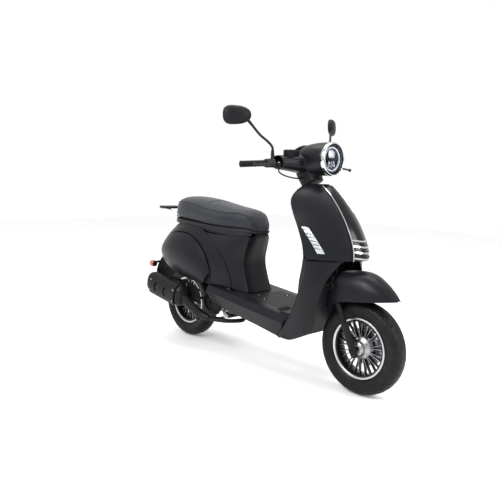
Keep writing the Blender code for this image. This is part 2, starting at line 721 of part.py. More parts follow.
def make_handlebar():
    """Bar, stem clamp, master cylinder with reservoir on the right and switch housings."""
    right = [Vector(p) for p in BAR_RIGHT]
    left = [Vector((p.x, -p.y, p.z)) for p in right]
    middle = smooth_path(list(reversed(right[:3])) + left[1:3], 7)
    bar = pipe([right[3]] + middle + [left[3]], BAR_RADIUS, 8)
    clamp = turned([(0.022, 0.824), (0.022, 0.885)], STEER_FOOT, STEER_AXIS, 12)
    clamp = cut(clamp, turned([(0.0154, 0.80), (0.0154, 0.8555)], STEER_FOOT, STEER_AXIS, 14))
    pieces = [clamp]
    for sign in (-1, 1):
        axis = grip_axis(sign)
        pod_in = bar_point(sign, -0.03)
        pieces.append(turned([(0.017, 0), (0.0215, 0.005), (0.0215, 0.042), (0.019, 0.0470)], pod_in,
                             axis, 10))
        foot = mirror_foot(sign)
        pieces.append(cylinder(foot - Vector((0, 0, 0.030)), foot - Vector((0, 0, GAP)), 0.009, 8))
        pivot = lever_pivot(sign)
        pieces.append(box(pivot - Vector((0.0290, 0, 0.0120)), (0.040, 0.020, 0.0100)))
        pieces.append(cylinder(pivot - Vector((0, 0, 0.0170)), pivot - Vector((0, 0, 0.0068)), 0.011, 8))
    tank = Vector((0.250, -0.118, 1.073))
    pieces.append(box(tank, (0.042, 0.064, 0.030)))
    pieces.append(box(tank - Vector((0.008, 0, 0.028)), (0.022, 0.040, 0.050)))
    add_part("handlebar", united(bar, *pieces), "black_steel", "steering")


def make_grips():
    for sign in (-1, 1):
        axis = grip_axis(sign)
        length = (bar_point(sign, 1) - bar_point(sign, 0)).length
        start = bar_point(sign, 0)
        collar, flange = GRIP_RADIUS + 0.0027, GRIP_RADIUS + 0.0007
        profile = [(collar, 0.0440), (collar, 0.0480), (GRIP_RADIUS, 0.0490), (GRIP_RADIUS, length),
                   (flange, length + 0.001), (flange, length + 0.004), (0.0110, length + 0.0060)]
        solid = turned(profile, start, axis, 12)
        bore = turned([(BAR_RADIUS + 0.0018, -0.02), (BAR_RADIUS + 0.0018, length + 0.0012)], start,
                      axis, 8)
        name, body = ("throttle_grip", "throttle") if sign < 0 else ("left_grip", "steering")
        add_part(name, cut(solid, bore), "rubber", body)


def make_levers():
    """Brake levers ahead of the grips, each with a ball end and an eye on its pivot."""
    for sign in (-1, 1):
        pivot = lever_pivot(sign)
        tip = bar_point(sign, 0.96) + Vector((0.082, 0, -0.004))
        bend = pivot.lerp(tip, 0.30) + Vector((0.010, 0, 0))
        arm = pipe([pivot, bend, pivot.lerp(tip, 0.65) + Vector((0.006, 0, 0)), tip], 0.0055, 6, 7)
        eye = cylinder(pivot - Vector((0, 0, 0.0046)), pivot + Vector((0, 0, 0.0060)), 0.0105, 10)
        ball = turned([(0.004, -0.0085), (0.0085, -0.004), (0.0085, 0.004), (0.004, 0.0085)], tip,
                      grip_axis(sign), 8)
        add_part("brake_lever_" + side_of(sign), united(arm, eye, ball), "black_steel",
                 "lever_" + side_of(sign))


def make_buttons():
    for sign, name, body, colour in ((-1, "starter_button", "starter", "red_plastic"),
                                     (1, "horn_button", "horn", "yellow_plastic")):
        centre = button_point(sign)
        inward = (bar_point(sign, 0.15) - centre).normalized()
        knob = turned([(0.0050, -0.0120), (0.0062, -0.0105), (0.0062, -0.0060)], centre, inward, 8)
        add_part(name, knob, colour, body)


def make_mirrors():
    """Stem rising from the bar and a rounded trapezoid head, turned outwards."""
    for sign in (-1, 1):
        foot = mirror_foot(sign)
        head = Vector((0.112, sign * 0.340, 1.237))
        facing = Vector((0.86, sign * 0.50, 0.06)).normalized()
        wide = (Vector((0, sign, 0)) - facing * facing.y * sign).normalized()
        tall = facing.cross(wide) * sign
        corner = head - wide * 0.066 - tall * 0.044 + facing * 0.004
        socket = head - wide * 0.045 - tall * 0.020 + facing * 0.005
        route = [foot, foot + Vector((-0.003, 0, 0.040)), foot + Vector((-0.016, sign * 0.018, 0.066)),
                 foot.lerp(corner, 0.62) + Vector((0.002, sign * 0.002, 0.010)), corner, socket]
        stem = pipe(route, 0.0058, 6, 9)
        nut = cylinder(foot, foot + Vector((0, 0, 0.012)), 0.0088, 6)
        rings = []
        for depth, scale in ((-0.011, 0.93), (-0.009, 1.0), (0.004, 0.97), (0.015, 0.72), (0.020, 0.35)):
            ring = []
            for k in range(14):
                angle = 2 * math.pi * k / 14
                c, s = math.cos(angle), math.sin(angle)
                u = math.copysign(abs(c) ** 0.72, c) * 0.066
                v = math.copysign(abs(s) ** 0.78, s) * (0.042 + 0.009 * c)
                ring.append(head + facing * depth + (wide * u + tall * v) * scale)
            rings.append(ring)
        shell = loft(rings)
        add_part("mirror_" + side_of(sign), united(shell, stem, nut), "black_plastic",
                 "mirror_%s_arm" % side_of(sign))


def headset_solid(shrink):
    """Outer form of the headset: lamp pod, two arms and the neck, smaller by `shrink`."""
    pod_rings = []
    for x, radius, z in ((0.390 + shrink, 0.0770, 1.053), (0.364, 0.0775, 1.053), (0.325, 0.0765, 1.053),
                         (0.272, 0.0735, 1.049), (0.226, 0.0640, 1.044), (0.194, 0.0500, 1.041),
                         (0.170 + shrink, 0.0360, 1.040)):
        pod_rings.append(rounded_ring((x, 0, z), (0, 1, 0), (0, 0, 1), radius - shrink,
                                      radius - shrink, 2.0, 16))
    arm_rings = []
    reach = 0.187 + (0.02 if shrink else 0.0)
    for t in np.linspace(-1, 1, 5):
        y = reach * t
        depth = smooth_value([(0, 0.058), (0.09, 0.052), (0.21, 0.037)], abs(y)) - shrink
        height = smooth_value([(0, 0.046), (0.09, 0.040), (0.21, 0.030)], abs(y)) - shrink
        x = smooth_value([(0, 0.248), (0.10, 0.240), (0.21, 0.224)], abs(y))
        z = smooth_value([(0, 1.026), (0.10, 1.029), (0.21, 1.032)], abs(y))
        arm_rings.append(rounded_ring((x, y, z), (1, 0, 0), (0, 0, 1), depth, height, 2.4, 10))
    neck_rings = []
    low = 0.796 - (0.02 if shrink else 0.0)
    for along, depth, width, forward in ((low, 0.050, 0.043, 0.0265), (0.850, 0.057, 0.048, 0.024),
                                         (0.905 - shrink, 0.056, 0.048, 0.020)):
        neck_rings.append(rounded_ring(fork_point(along, forward), STEER_FORWARD, (0, 1, 0),
                                       depth - shrink, width - shrink, 2.8, 10))
    return united(loft(pod_rings), loft(arm_rings), loft(neck_rings))


def make_headset():
    """Hollow cowl over the handlebar, open at the arm ends, the neck and the lamp."""
    shell = cut(headset_solid(0.0), headset_solid(0.0034))
    lamp_hole = cylinder((HEADLIGHT_X - 0.030, 0, HEADLIGHT_Z), (0.45, 0, HEADLIGHT_Z),
                         HEADLIGHT_RADIUS + 0.0006, 20)
    tank_hole = box((0.250, -0.118, 1.090), (0.046, 0.068, 0.080))
    dial_hole = cylinder(*dial_span(-0.030, 0.0012), 0.0368, 14)
    dial_seat = cylinder(*dial_span(0.0008, 0.060), 0.0450, 14)
    hose_hole = cylinder((0.226, -0.176, 0.978), (0.226, -0.176, 1.004), 0.0075, 8)
    neck_hole = cylinder((0.262, -0.080, 0.958), (0.267, -0.020, 0.970), 0.0085, 8)
    shell = cut(shell, lamp_hole, tank_hole, dial_hole, dial_seat, hose_hole, neck_hole)
    add_part("headset_cowl", shell, "body_paint", "steering")


def dial_span(low, high):
    """Two points on the speedometer's axis, which leans towards the rider."""
    centre = Vector((0.206, 0, 1.086))
    axis = Vector((-0.55, 0, 0.835)).normalized()
    return centre + axis * low, centre + axis * high


def make_lamp_and_dial():
    ring = turned([(0.0645, 0.0000), (0.0645, 0.0070), (0.0690, 0.0100), (0.0770, 0.0060),
                   (0.0785, -0.0010),
                   (0.0775, -0.0125), (0.0724, -0.0125), (0.0724, 0.0000)],
                  (HEADLIGHT_X, 0, HEADLIGHT_Z), (1, 0, 0), 20, ring=True)
    add_part("headlight_ring", ring, "chrome", "steering")
    unit = turned([(0.030, -0.0500), (0.050, -0.0380), (HEADLIGHT_RADIUS, -0.0130),
                   (HEADLIGHT_RADIUS, -0.0004),
                   (0.0640, -0.0004), (0.0640, 0.0030), (0.045, 0.0075), (0.020, 0.0095)],
                  (HEADLIGHT_X, 0, HEADLIGHT_Z), (1, 0, 0), 20)
    add_part("headlight", unit, "clear_lens", "steering")
    low, high = dial_span(-0.018, 0.014)
    axis = (high - low).normalized()
    dial = turned([(0.030, 0), (0.0355, 0.003), (0.0355, 0.020), (0.0440, 0.0205), (0.0440, 0.0270),
                   (0.0380, 0.0300)], low, axis, 14)
    add_part("speedometer", dial, "dial_glass", "steering")


def make_brake_hose():
    """Hose from the master cylinder, looping under the headset and into its neck."""
    route = [(0.226, -0.176, 1.0050), (0.227, -0.172, 0.986), (0.236, -0.140, 0.970),
             (0.252, -0.090, 0.960),
             (0.263, -0.056, 0.962), (0.266, -0.036, 0.967)]
    add_part("brake_hose", pipe(route, 0.0036, 5, 9), "rubber", "steering")


# ---------------------------------------------------------------- floor
def floor_z(x):
    return 0.323 + (0.320 - x) * 0.100


def make_floor():
    """Foot board with a side skirt on each edge, as one moulding."""
    stations = [0.322, 0.230, 0.140, 0.050, -0.040, -0.130, -0.200, -0.262]
    grid = []
    for x in stations:
        deck = floor_z(x) - 0.004
        crease = 0.278 + (0.332 - x) * 0.118
        bottom = smooth_value([(0.332, 0.190), (0.234, 0.205), (0.113, 0.227), (-0.015, 0.246),
                               (-0.170, 0.265),
                               (-0.262, 0.300)], x)
        narrow = smooth_value([(0.332, 0.170), (0.200, 0.186), (0.0, 0.190), (-0.262, 0.188)], x)
        half = [(narrow - 0.036, bottom), (narrow, crease), (narrow - 0.014, deck - 0.002),
                (narrow - 0.034, deck)]
        inner = [(0.100, deck), (0.035, deck)]
        right = []
        for y, z in half + inner:
            front = min(x, smooth_value(SHIELD_EDGE, z) - 0.020)
            right.append(Vector((front, -y, z)))
        grid.append(right + [Vector((p.x, -p.y, p.z)) for p in reversed(right)])
    engine_room = box((-0.250, 0, 0.350), (0.330, 0.276, 0.120))
    tube_room = box((0.305, 0, 0.320), (0.050, 0.042, 0.050))
    add_part("floor_panel", cut(sheet(grid, SKIN), engine_room, tube_room), "body_paint", "chassis")


# ---------------------------------------------------------------- frame
def make_frame():
    """Welded tube frame: head tube, down tube, two floor rails that rise to the seat rails."""
    head = turned([(0.026, HEAD_BOTTOM), (0.026, HEAD_TOP)], STEER_FOOT, STEER_AXIS, 16)
    bore = turned([(0.0198, HEAD_BOTTOM - 0.01), (0.0198, HEAD_TOP + 0.01)], STEER_FOOT, STEER_AXIS, 16)
    down = pipe([fork_point(0.545, -0.004), (0.345, 0, 0.560), (0.339, 0, 0.450), (0.326, 0, 0.360),
                 (0.300, 0, 0.310), (0.255, 0, 0.283), (0.180, 0, 0.278), (0.090, 0, 0.280)], 0.0165, 8, 10)
    tubes = []
    for sign in (-1, 1):
        tubes.append(pipe([(0.150, 0, 0.280), (0.060, sign * 0.075, 0.286), (-0.080, sign * 0.112, 0.300),
                           (-0.190, sign * 0.118, 0.352), (-0.330, sign * 0.116, 0.480),
                           (-0.560, sign * 0.086, 0.562), (-0.690, sign * 0.075, 0.580)], 0.0120, 6, 11))
        tubes.append(pipe([(-0.160, sign * 0.116, 0.332), (-0.140, sign * 0.084, 0.450),
                           (-0.122, sign * 0.058, 0.600), (-0.116, 0.0, 0.628)], 0.008, 5, 6))
        tubes.append(cylinder((-0.170, sign * 0.078, 0.315), (-0.170, sign * 0.120, 0.340), 0.012, 8))
        lug = box((-0.098, sign * 0.036, 0.6320), (0.052, 0.005, 0.0380))
        ear = cylinder((SEAT_HINGE.x, sign * 0.0335, SEAT_HINGE.z),
                       (SEAT_HINGE.x, sign * 0.0385, SEAT_HINGE.z),
                       0.0078, 8)
        arm_side = ((-0.090, 0.634), (-0.042, 0.6515), (-0.042, 0.6630), (-0.090, 0.6500))
        arm = loft([[Vector((x, y, z)) for x, z in arm_side]
                    for y in (sign * 0.036 - 0.0025, sign * 0.036 + 0.0025)])
        tubes.append(united(lug, arm, ear))
    tubes.append(cylinder((-0.690, -0.075, 0.580), (-0.690, 0.075, 0.580), 0.010, 6))
    tubes.append(cylinder((-0.080, -0.112, 0.300), (-0.080, 0.112, 0.300), 0.010, 6))
    pivot_pin = cylinder(SWING_PIVOT - Vector((0, 0.090, 0)), SWING_PIVOT + Vector((0, 0.090, 0)),
                         0.0058, 8)
    shock_pin = cylinder((SHOCK_TOP.x, 0.078, SHOCK_TOP.z), (SHOCK_TOP.x, 0.124, SHOCK_TOP.z), 0.0050, 8)
    hinge_bore = cylinder(SEAT_HINGE - Vector((0, 0.05, 0)), SEAT_HINGE + Vector((0, 0.05, 0)), 0.0054, 10)
    frame = united(head, down, *tubes, pivot_pin, shock_pin)
    add_part("frame", cut(frame, bore, hinge_bore), "black_steel", "chassis")


# ---------------------------------------------------------------- rear body
BODY_HALF_WIDTH = [(-0.200, 0.146), (-0.250, 0.163), (-0.320, 0.179), (-0.450, 0.187),
                   (-0.600, 0.178), (-0.700, 0.152), (-0.780, 0.114), (-0.840, 0.072), (-0.872, 0.036),
                   (-0.886, 0.010)]
BODY_TOP = [(-0.030, 0.735), (-0.520, 0.738), (-0.580, 0.722), (-0.640, 0.694), (-0.690, 0.662),
            (-0.740, 0.626),
            (-0.800, 0.584), (-0.860, 0.540), (-0.886, 0.508)]
BODY_MIDDLE = [(-0.030, 0.430), (-0.300, 0.460), (-0.600, 0.510), (-0.800, 0.505), (-0.886, 0.490)]
NOSE_FACE = [(0.665, -0.044), (0.650, -0.047), (0.587, -0.067), (0.534, -0.086), (0.500, -0.084),
             (0.440, -0.066),
             (0.400, -0.052), (0.370, -0.040), (0.345, -0.026)]
NOSE_HALF_WIDTH = [(0.665, 0.062), (0.587, 0.070), (0.440, 0.076), (0.370, 0.080), (0.345, 0.088)]
NOSE_BACK = -0.200


def body_side(x, z):
    """Half width of the rear body at a point of its side view."""
    if x > NOSE_BACK:
        face = smooth_value(NOSE_FACE, z)
        share = min(max((face - x) / (face - NOSE_BACK), 0.0), 1.0)
        corner = smooth_value(NOSE_HALF_WIDTH, z)
        return corner + (body_side(NOSE_BACK, z) - corner) * share**0.75
    width = smooth_value(BODY_HALF_WIDTH, x)
    middle = smooth_value(BODY_MIDDLE, x)
    if z >= middle:
        share = min((z - middle) / (smooth_value(BODY_TOP, x) - middle), 1.0)
        return width * (1 - share**2.6) ** (1 / 2.6)
    share = min((middle - z) / 0.30, 1.0)
    return width * (1 - share**2.2) ** (1 / 2.2)


FRONT_SEAM = [(-0.129, 0.368), (-0.144, 0.438), (-0.170, 0.497), (-0.204, 0.550), (-0.250, 0.600),
              (-0.300, 0.642),
              (-0.345, 0.668)]
BAND_OUTER = [(-0.133, 0.3725), (-0.148, 0.438), (-0.174, 0.497), (-0.208, 0.550), (-0.255, 0.601),
              (-0.306, 0.645),
              (-0.380, 0.672), (-0.500, 0.682), (-0.600, 0.678), (-0.660, 0.654), (-0.726,
                                                                                   0.606), (-0.790,
                                                                                            0.530)]
COWL_ARC = [(-0.258, 0.3850), (-0.256, 0.451), (-0.278, 0.512), (-0.314, 0.567), (-0.368, 0.610),
            (-0.432, 0.636),
            (-0.500, 0.644), (-0.570, 0.640), (-0.630, 0.624), (-0.690, 0.594), (-0.750,
                                                                                 0.546), (-0.792,
                                                                                          0.506)]
COWL_FOOT = [(-0.262, 0.3850), (-0.320, 0.378), (-0.478, 0.396), (-0.648, 0.440), (-0.720, 0.466),
             (-0.792, 0.492)]


def side_curve(points, count):
    """Evenly spread (x, z) points along a side-view curve."""
    return [(p.x, p.z) for p in smooth_path([(x, 0, z) for x, z in points], count)]


def make_under_seat_panel():
    """Panel across the front of the rear body, wrapped round to the first seam on each side."""
    rows = 8
    seam = side_curve(FRONT_SEAM, 40)
    grid = []
    for i in range(rows):
        share = i / (rows - 1)
        half = []
        for s in (1.0, 0.68, 0.40, 0.18, 0.04, -0.3, -0.7):
            foot = floor_z(-0.035 - 0.095 * max(s, 0.0)) + 0.0015
            z = foot + (0.6480 - foot) * share
            face = smooth_value(NOSE_FACE, z)
            seam_x = float(np.interp(z, [p[1] for p in seam], [p[0] for p in seam]))
            if s > 0:
                x = face - 0.002 + (seam_x - face + 0.002) * s
                half.append(Vector((x, body_side(x, z), z)))
            else:
                hollow = 0.010 * math.sin(math.pi * min(max((z - 0.39) / 0.26, 0), 1))
                x = face + 0.004 + 0.5 * s * hollow - 0.004 * (1 + s)
                half.append(Vector((x, smooth_value(NOSE_HALF_WIDTH, z) * (1 + s) * 0.95, z)))
        grid.append([Vector((p.x, -p.y, p.z)) for p in half] + [p for p in reversed(half)])
    add_part("under_seat_panel", sheet(grid, -SKIN, level=True), "body_paint", "chassis")


def make_body_panels():
    """Band between the first seam and the side cowl, running back under the seat to the tail."""
    count = 14
    outer = side_curve(BAND_OUTER, count)
    inner = side_curve(COWL_ARC, count)
    for sign in (-1, 1):
        grid = []
        for (xo, zo), (xi, zi) in zip(outer, inner):
            row = []
            for t in (0.0, 0.5, 0.98):
                x, z = xo + (xi - xo) * t, zo + (zi - zo) * t
                row.append(Vector((x, sign * (body_side(x, z) + 0.003 * t), z)))
            grid.append(row)
        add_part("body_panel_" + side_of(sign), sheet(grid, -sign * SKIN), "body_paint", "chassis")


def make_side_cowls():
    """Domed side cowls, from the arched seam down to the lower edge."""
    count, steps = 13, 5
    arc = side_curve(COWL_ARC, count)
    foot = side_curve(COWL_FOOT, count)
    for sign in (-1, 1):
        grid = []
        for i in range(1, count):
            (xa, za), (xf, zf) = arc[i], foot[i]
            row = []
            for j in range(steps + 1):
                t = 0.02 + 0.98 * j / steps
                x, z = xa + (xf - xa) * t, za + (zf - za) * t
                along = math.sin(math.pi * min(i / (count - 1), 1.0)) ** 0.5
                dome = 0.004 + 0.024 * along * (1 - abs(2 * min(t * 0.9, 1) - 0.9) ** 2.2)
                row.append(Vector((x, sign * (body_side(x, z) + dome), z)))
            grid.append(row)
        add_part("side_cowl_" + side_of(sign), sheet(grid, -sign * SKIN), "body_paint", "chassis")


TAIL_EDGE = [(-0.648, 0.666), (-0.668, 0.658), (-0.730, 0.613), (-0.790, 0.546), (-0.830, 0.506),
             (-0.886, 0.488)]


def make_tail():
    """Centre of the tail, arched over from one side to the other, and the lamp on it."""
    rows, cols = 8, 8
    grid = []
    for i in range(rows):
        x = -0.655 - (0.882 - 0.655) * (1 - (1 - i / (rows - 1)) ** 1.4)
        top = smooth_value(BODY_TOP, x) - 0.002
        low = min(smooth_value(TAIL_EDGE, x), top - 0.012)
        row = []
        for j in range(cols + 1):
            angle = math.pi / 2 * (-1 + 2 * j / cols)
            z = low + (top - low) * math.cos(angle)
            side = body_side(x, low) * math.sin(angle)
            row.append(Vector((x, side, z)))
        grid.append(row)
    add_part("tail_cover", sheet(grid, -0.002), "body_paint", "chassis")
    rings = []
    for x, wide, tall in ((-0.8845, 0.026, 0.018), (-0.8905, 0.032, 0.022), (-0.8960, 0.026, 0.018)):
        rings.append(rounded_ring((x, 0, 0.498), (0, 1, 0), (0, 0, 1), wide, tall, 2.6, 14))
    add_part("tail_light", loft(rings), "red_lens", "chassis")


def make_rear_fender():
    """Inner mudguard over the rear wheel that ends in the number plate holder."""
    route = smooth_path([(-0.405, 0, 0.400), (-0.440, 0, 0.465), (-0.520, 0, 0.508), (-0.640, 0, 0.512),
                         (-0.760, 0, 0.488), (-0.846, 0, 0.436), (-0.880, 0, 0.380)], 10)
    route += [Vector((-0.884, 0, 0.364)), Vector((-0.884, 0, 0.340)), Vector((-0.884, 0, 0.300))]
    grid = []
    for i, p in enumerate(route):
        q = route[min(i + 1, len(route) - 1)]
        o = route[max(i - 1, 0)]
        along = (q - o).normalized()
        out = Vector((along.z, 0, -along.x)) * (-1)
        lip = 0.002 + 0.018 * min(max((8 - i) / 3, 0.0), 1.0)
        row = []
        for y, drop in ((-0.079, lip), (-0.075, 0.007), (-0.040, 0), (0.040, 0), (0.075, 0.007),
                        (0.079, lip)):
            row.append(p - out * drop + Vector((0, y, 0)))
        grid.append(row)
    add_part("rear_fender", sheet(grid, SKIN), "black_plastic", "chassis")


def make_rear_indicators():
    """Round amber lamps on short stalks beside the plate holder."""
    for sign in (-1, 1):
        tip = Vector((-0.862, sign * 0.128, 0.413))
        root = Vector((-0.8515, sign * 0.0860, 0.4233))
        stalk = cylinder(root, tip, 0.0065, 8)
        lamp = turned([(0.012, -0.030), (0.0205, -0.020), (0.0225, -0.004), (0.0225, 0.006),
                       (0.015, 0.014)],
                      tip, (-1, 0, 0), 16)
        add_part("rear_indicator_" + side_of(sign), united(lamp, stalk), "amber_lens", "chassis")


def make_rack():
    """Grab rail and rack behind the seat: two bent legs and a flat top plate."""
    legs = []
    for sign in (-1, 1):
        legs.append(pipe([(-0.712, sign * 0.034, 0.6555), (-0.722, sign * 0.036, 0.686),
                          (-0.750, sign * 0.046, 0.732),
                          (-0.800, sign * 0.058, 0.754), (-0.880, sign * 0.058, 0.757)], 0.0075, 6, 10))
    plate_rings = []
    for z in (0.754, 0.766):
        plate_rings.append(rounded_ring((-0.838, 0, z), (1, 0, 0), (0, 1, 0), 0.062, 0.072, 5, 20))
    hole_rings = []
    for z in (0.74, 0.78):
        hole_rings.append(rounded_ring((-0.838, 0, z), (1, 0, 0), (0, 1, 0), 0.034, 0.030, 5, 12))
    plate = cut(loft(plate_rings), loft(hole_rings))
    cross = cylinder((-0.752, -0.046, 0.732), (-0.752, 0.046, 0.732), 0.006, 6)
    add_part("rear_rack", united(plate, *legs, cross), "chrome", "chassis")


# ---------------------------------------------------------------- seat and what lies under it
SEAT_CROWN = [(-0.034, 0.704), (-0.043, 0.722), (-0.060, 0.750), (-0.090, 0.779), (-0.131, 0.787),
              (-0.235, 0.799),
              (-0.335, 0.817), (-0.405, 0.827), (-0.500, 0.837), (-0.590, 0.841), (-0.640,
                                                                                   0.834), (-0.676,
                                                                                            0.812),
              (-0.694, 0.776)]
SEAT_SHOULDER = [(-0.034, 0.692), (-0.043, 0.706), (-0.060, 0.732), (-0.090, 0.764), (-0.131, 0.773),
                 (-0.235, 0.772),
                 (-0.335, 0.778), (-0.405, 0.789), (-0.500, 0.805), (-0.590, 0.812), (-0.640,
                                                                                      0.806), (-0.676,
                                                                                               0.788),
                 (-0.694, 0.756)]
SEAT_HALF_WIDTH = [(-0.034, 0.048), (-0.046, 0.060), (-0.070, 0.074), (-0.100, 0.088), (-0.150, 0.106),
                   (-0.200, 0.118), (-0.300, 0.132), (-0.400, 0.140), (-0.550, 0.140), (-0.610, 0.132),
                   (-0.650, 0.112), (-0.680, 0.076), (-0.694, 0.036)]
SEAT_FOOT = [(-0.034, 0.6765), (-0.260, 0.6805), (-0.560, 0.6990), (-0.694, 0.7040)]
SEAT_BASE_THICKNESS = 0.0095


def seat_ring(x, low, width, shoulder, crown):
    """Cross-section of the cushion: flat foot, nearly upright sides, crowned top."""
    half = [(0.92 * width, low), (width, low + 0.3 * (shoulder - low)),
            (width, low + 0.6 * (shoulder - low)),
            (0.955 * width, low + 0.86 * (shoulder - low)), (0.86 * width,
                                                             shoulder + 0.15 * (crown - shoulder)),
            (0.60 * width, shoulder + 0.68 * (crown - shoulder)), (0.28 * width,
                                                                   crown - 0.08 * (crown - shoulder))]
    ring = [Vector((x, y, z)) for y, z in half]
    return ring + [Vector((x, -y, z)) for y, z in reversed(half)]


def make_seat():
    stations = [-0.034, -0.043, -0.060, -0.090, -0.131, -0.200, -0.280, -0.360, -0.440, -0.540, -0.600,
                -0.645,
                -0.676, -0.694]
    rings = []
    base_rings = []
    for x in stations:
        low = smooth_value(SEAT_FOOT, x)
        width = smooth_value(SEAT_HALF_WIDTH, x)
        rings.append(seat_ring(x, low, width, smooth_value(SEAT_SHOULDER, x), smooth_value(SEAT_CROWN, x)))
        top, bottom = low - GAP, low - SEAT_BASE_THICKNESS
        base_rings.append([Vector((x, -0.9 * width, top)), Vector((x, 0.9 * width, top)),
                           Vector((x, 0.9 * width, bottom)), Vector((x, -0.9 * width, bottom))])
    add_part("seat_cushion", loft(rings), "seat_vinyl", "seat")
    knuckle = turned([(0.0048, -0.0420), (0.0048, -0.0320), (0.0074, -0.0310), (0.0074, 0.0310),
                      (0.0048, 0.0320),
                      (0.0048, 0.0420)], SEAT_HINGE, (0, 1, 0), 10)
    web = box(SEAT_HINGE + Vector((-0.002, 0, 0.006)), (0.008, 0.050, 0.014))
    add_part("seat_base", united(loft(base_rings), knuckle, web), "black_plastic", "seat")


def make_storage():
    """Helmet box under the seat and the fuel tank behind it."""
    outer = []
    for x, width, low in ((-0.150, 0.066, 0.500), (-0.190, 0.084, 0.470), (-0.300, 0.094, 0.460),
                          (-0.385, 0.090, 0.500)):
        outer.append((x, width, low))

    def tub(shrink, top):
        rings = []
        for k, (x, width, low) in enumerate(outer):
            shift = shrink * (-1 if k == 0 else 1 if k == len(outer) - 1 else 0)
            w, base = width - shrink, low + shrink
            rings.append([Vector((x + shift, -w, top)), Vector((x + shift, -w, base + 0.02)),
                          Vector((x + shift, -w * 0.8, base)), Vector((x + shift, w * 0.8, base)),
                          Vector((x + shift, w, base + 0.02)), Vector((x + shift, w, top))])
        return loft(rings)
    add_part("helmet_box", cut(tub(0.0, 0.655), tub(SKIN, 0.70)), "black_plastic", "chassis")
    tank_rings = []
    for x, wide, low, high in ((-0.396, 0.052, 0.565, 0.630), (-0.420, 0.068, 0.545, 0.650),
                               (-0.600, 0.060, 0.545, 0.650),
                               (-0.625, 0.048, 0.565, 0.640)):
        tank_rings.append(rounded_ring((x, 0, (low + high) / 2), (0, 1, 0), (0, 0, 1), wide,
                                       (high - low) / 2, 4, 14))
    cap = cylinder((-0.500, 0, 0.640), (-0.500, 0, 0.668), 0.028, 12)
    add_part("fuel_tank", united(loft(tank_rings), cap), "black_steel", "chassis")


# ---------------------------------------------------------------- power unit
CRANK = Vector((-0.318, 0.0, 0.262))


def stadium(a, b, radius_a, radius_b, y_from, y_to, count=8):
    """Flat plate with two round ends, lying in a side-view plane."""
    direction = (b - a).normalized()
    square = Vector((-direction.z, 0, direction.x))
    outline = []
    for centre, radius, start in ((a, radius_a, math.pi / 2), (b, radius_b, -math.pi / 2)):
        for k in range(count):
            angle = start + math.pi * k / (count - 1)
            spoke = direction * math.cos(angle) + square * math.sin(angle)
            outline.append(centre + spoke * radius)
    return loft([[Vector((p.x, y, p.z)) for p in outline] for y in (y_from, y_to)])


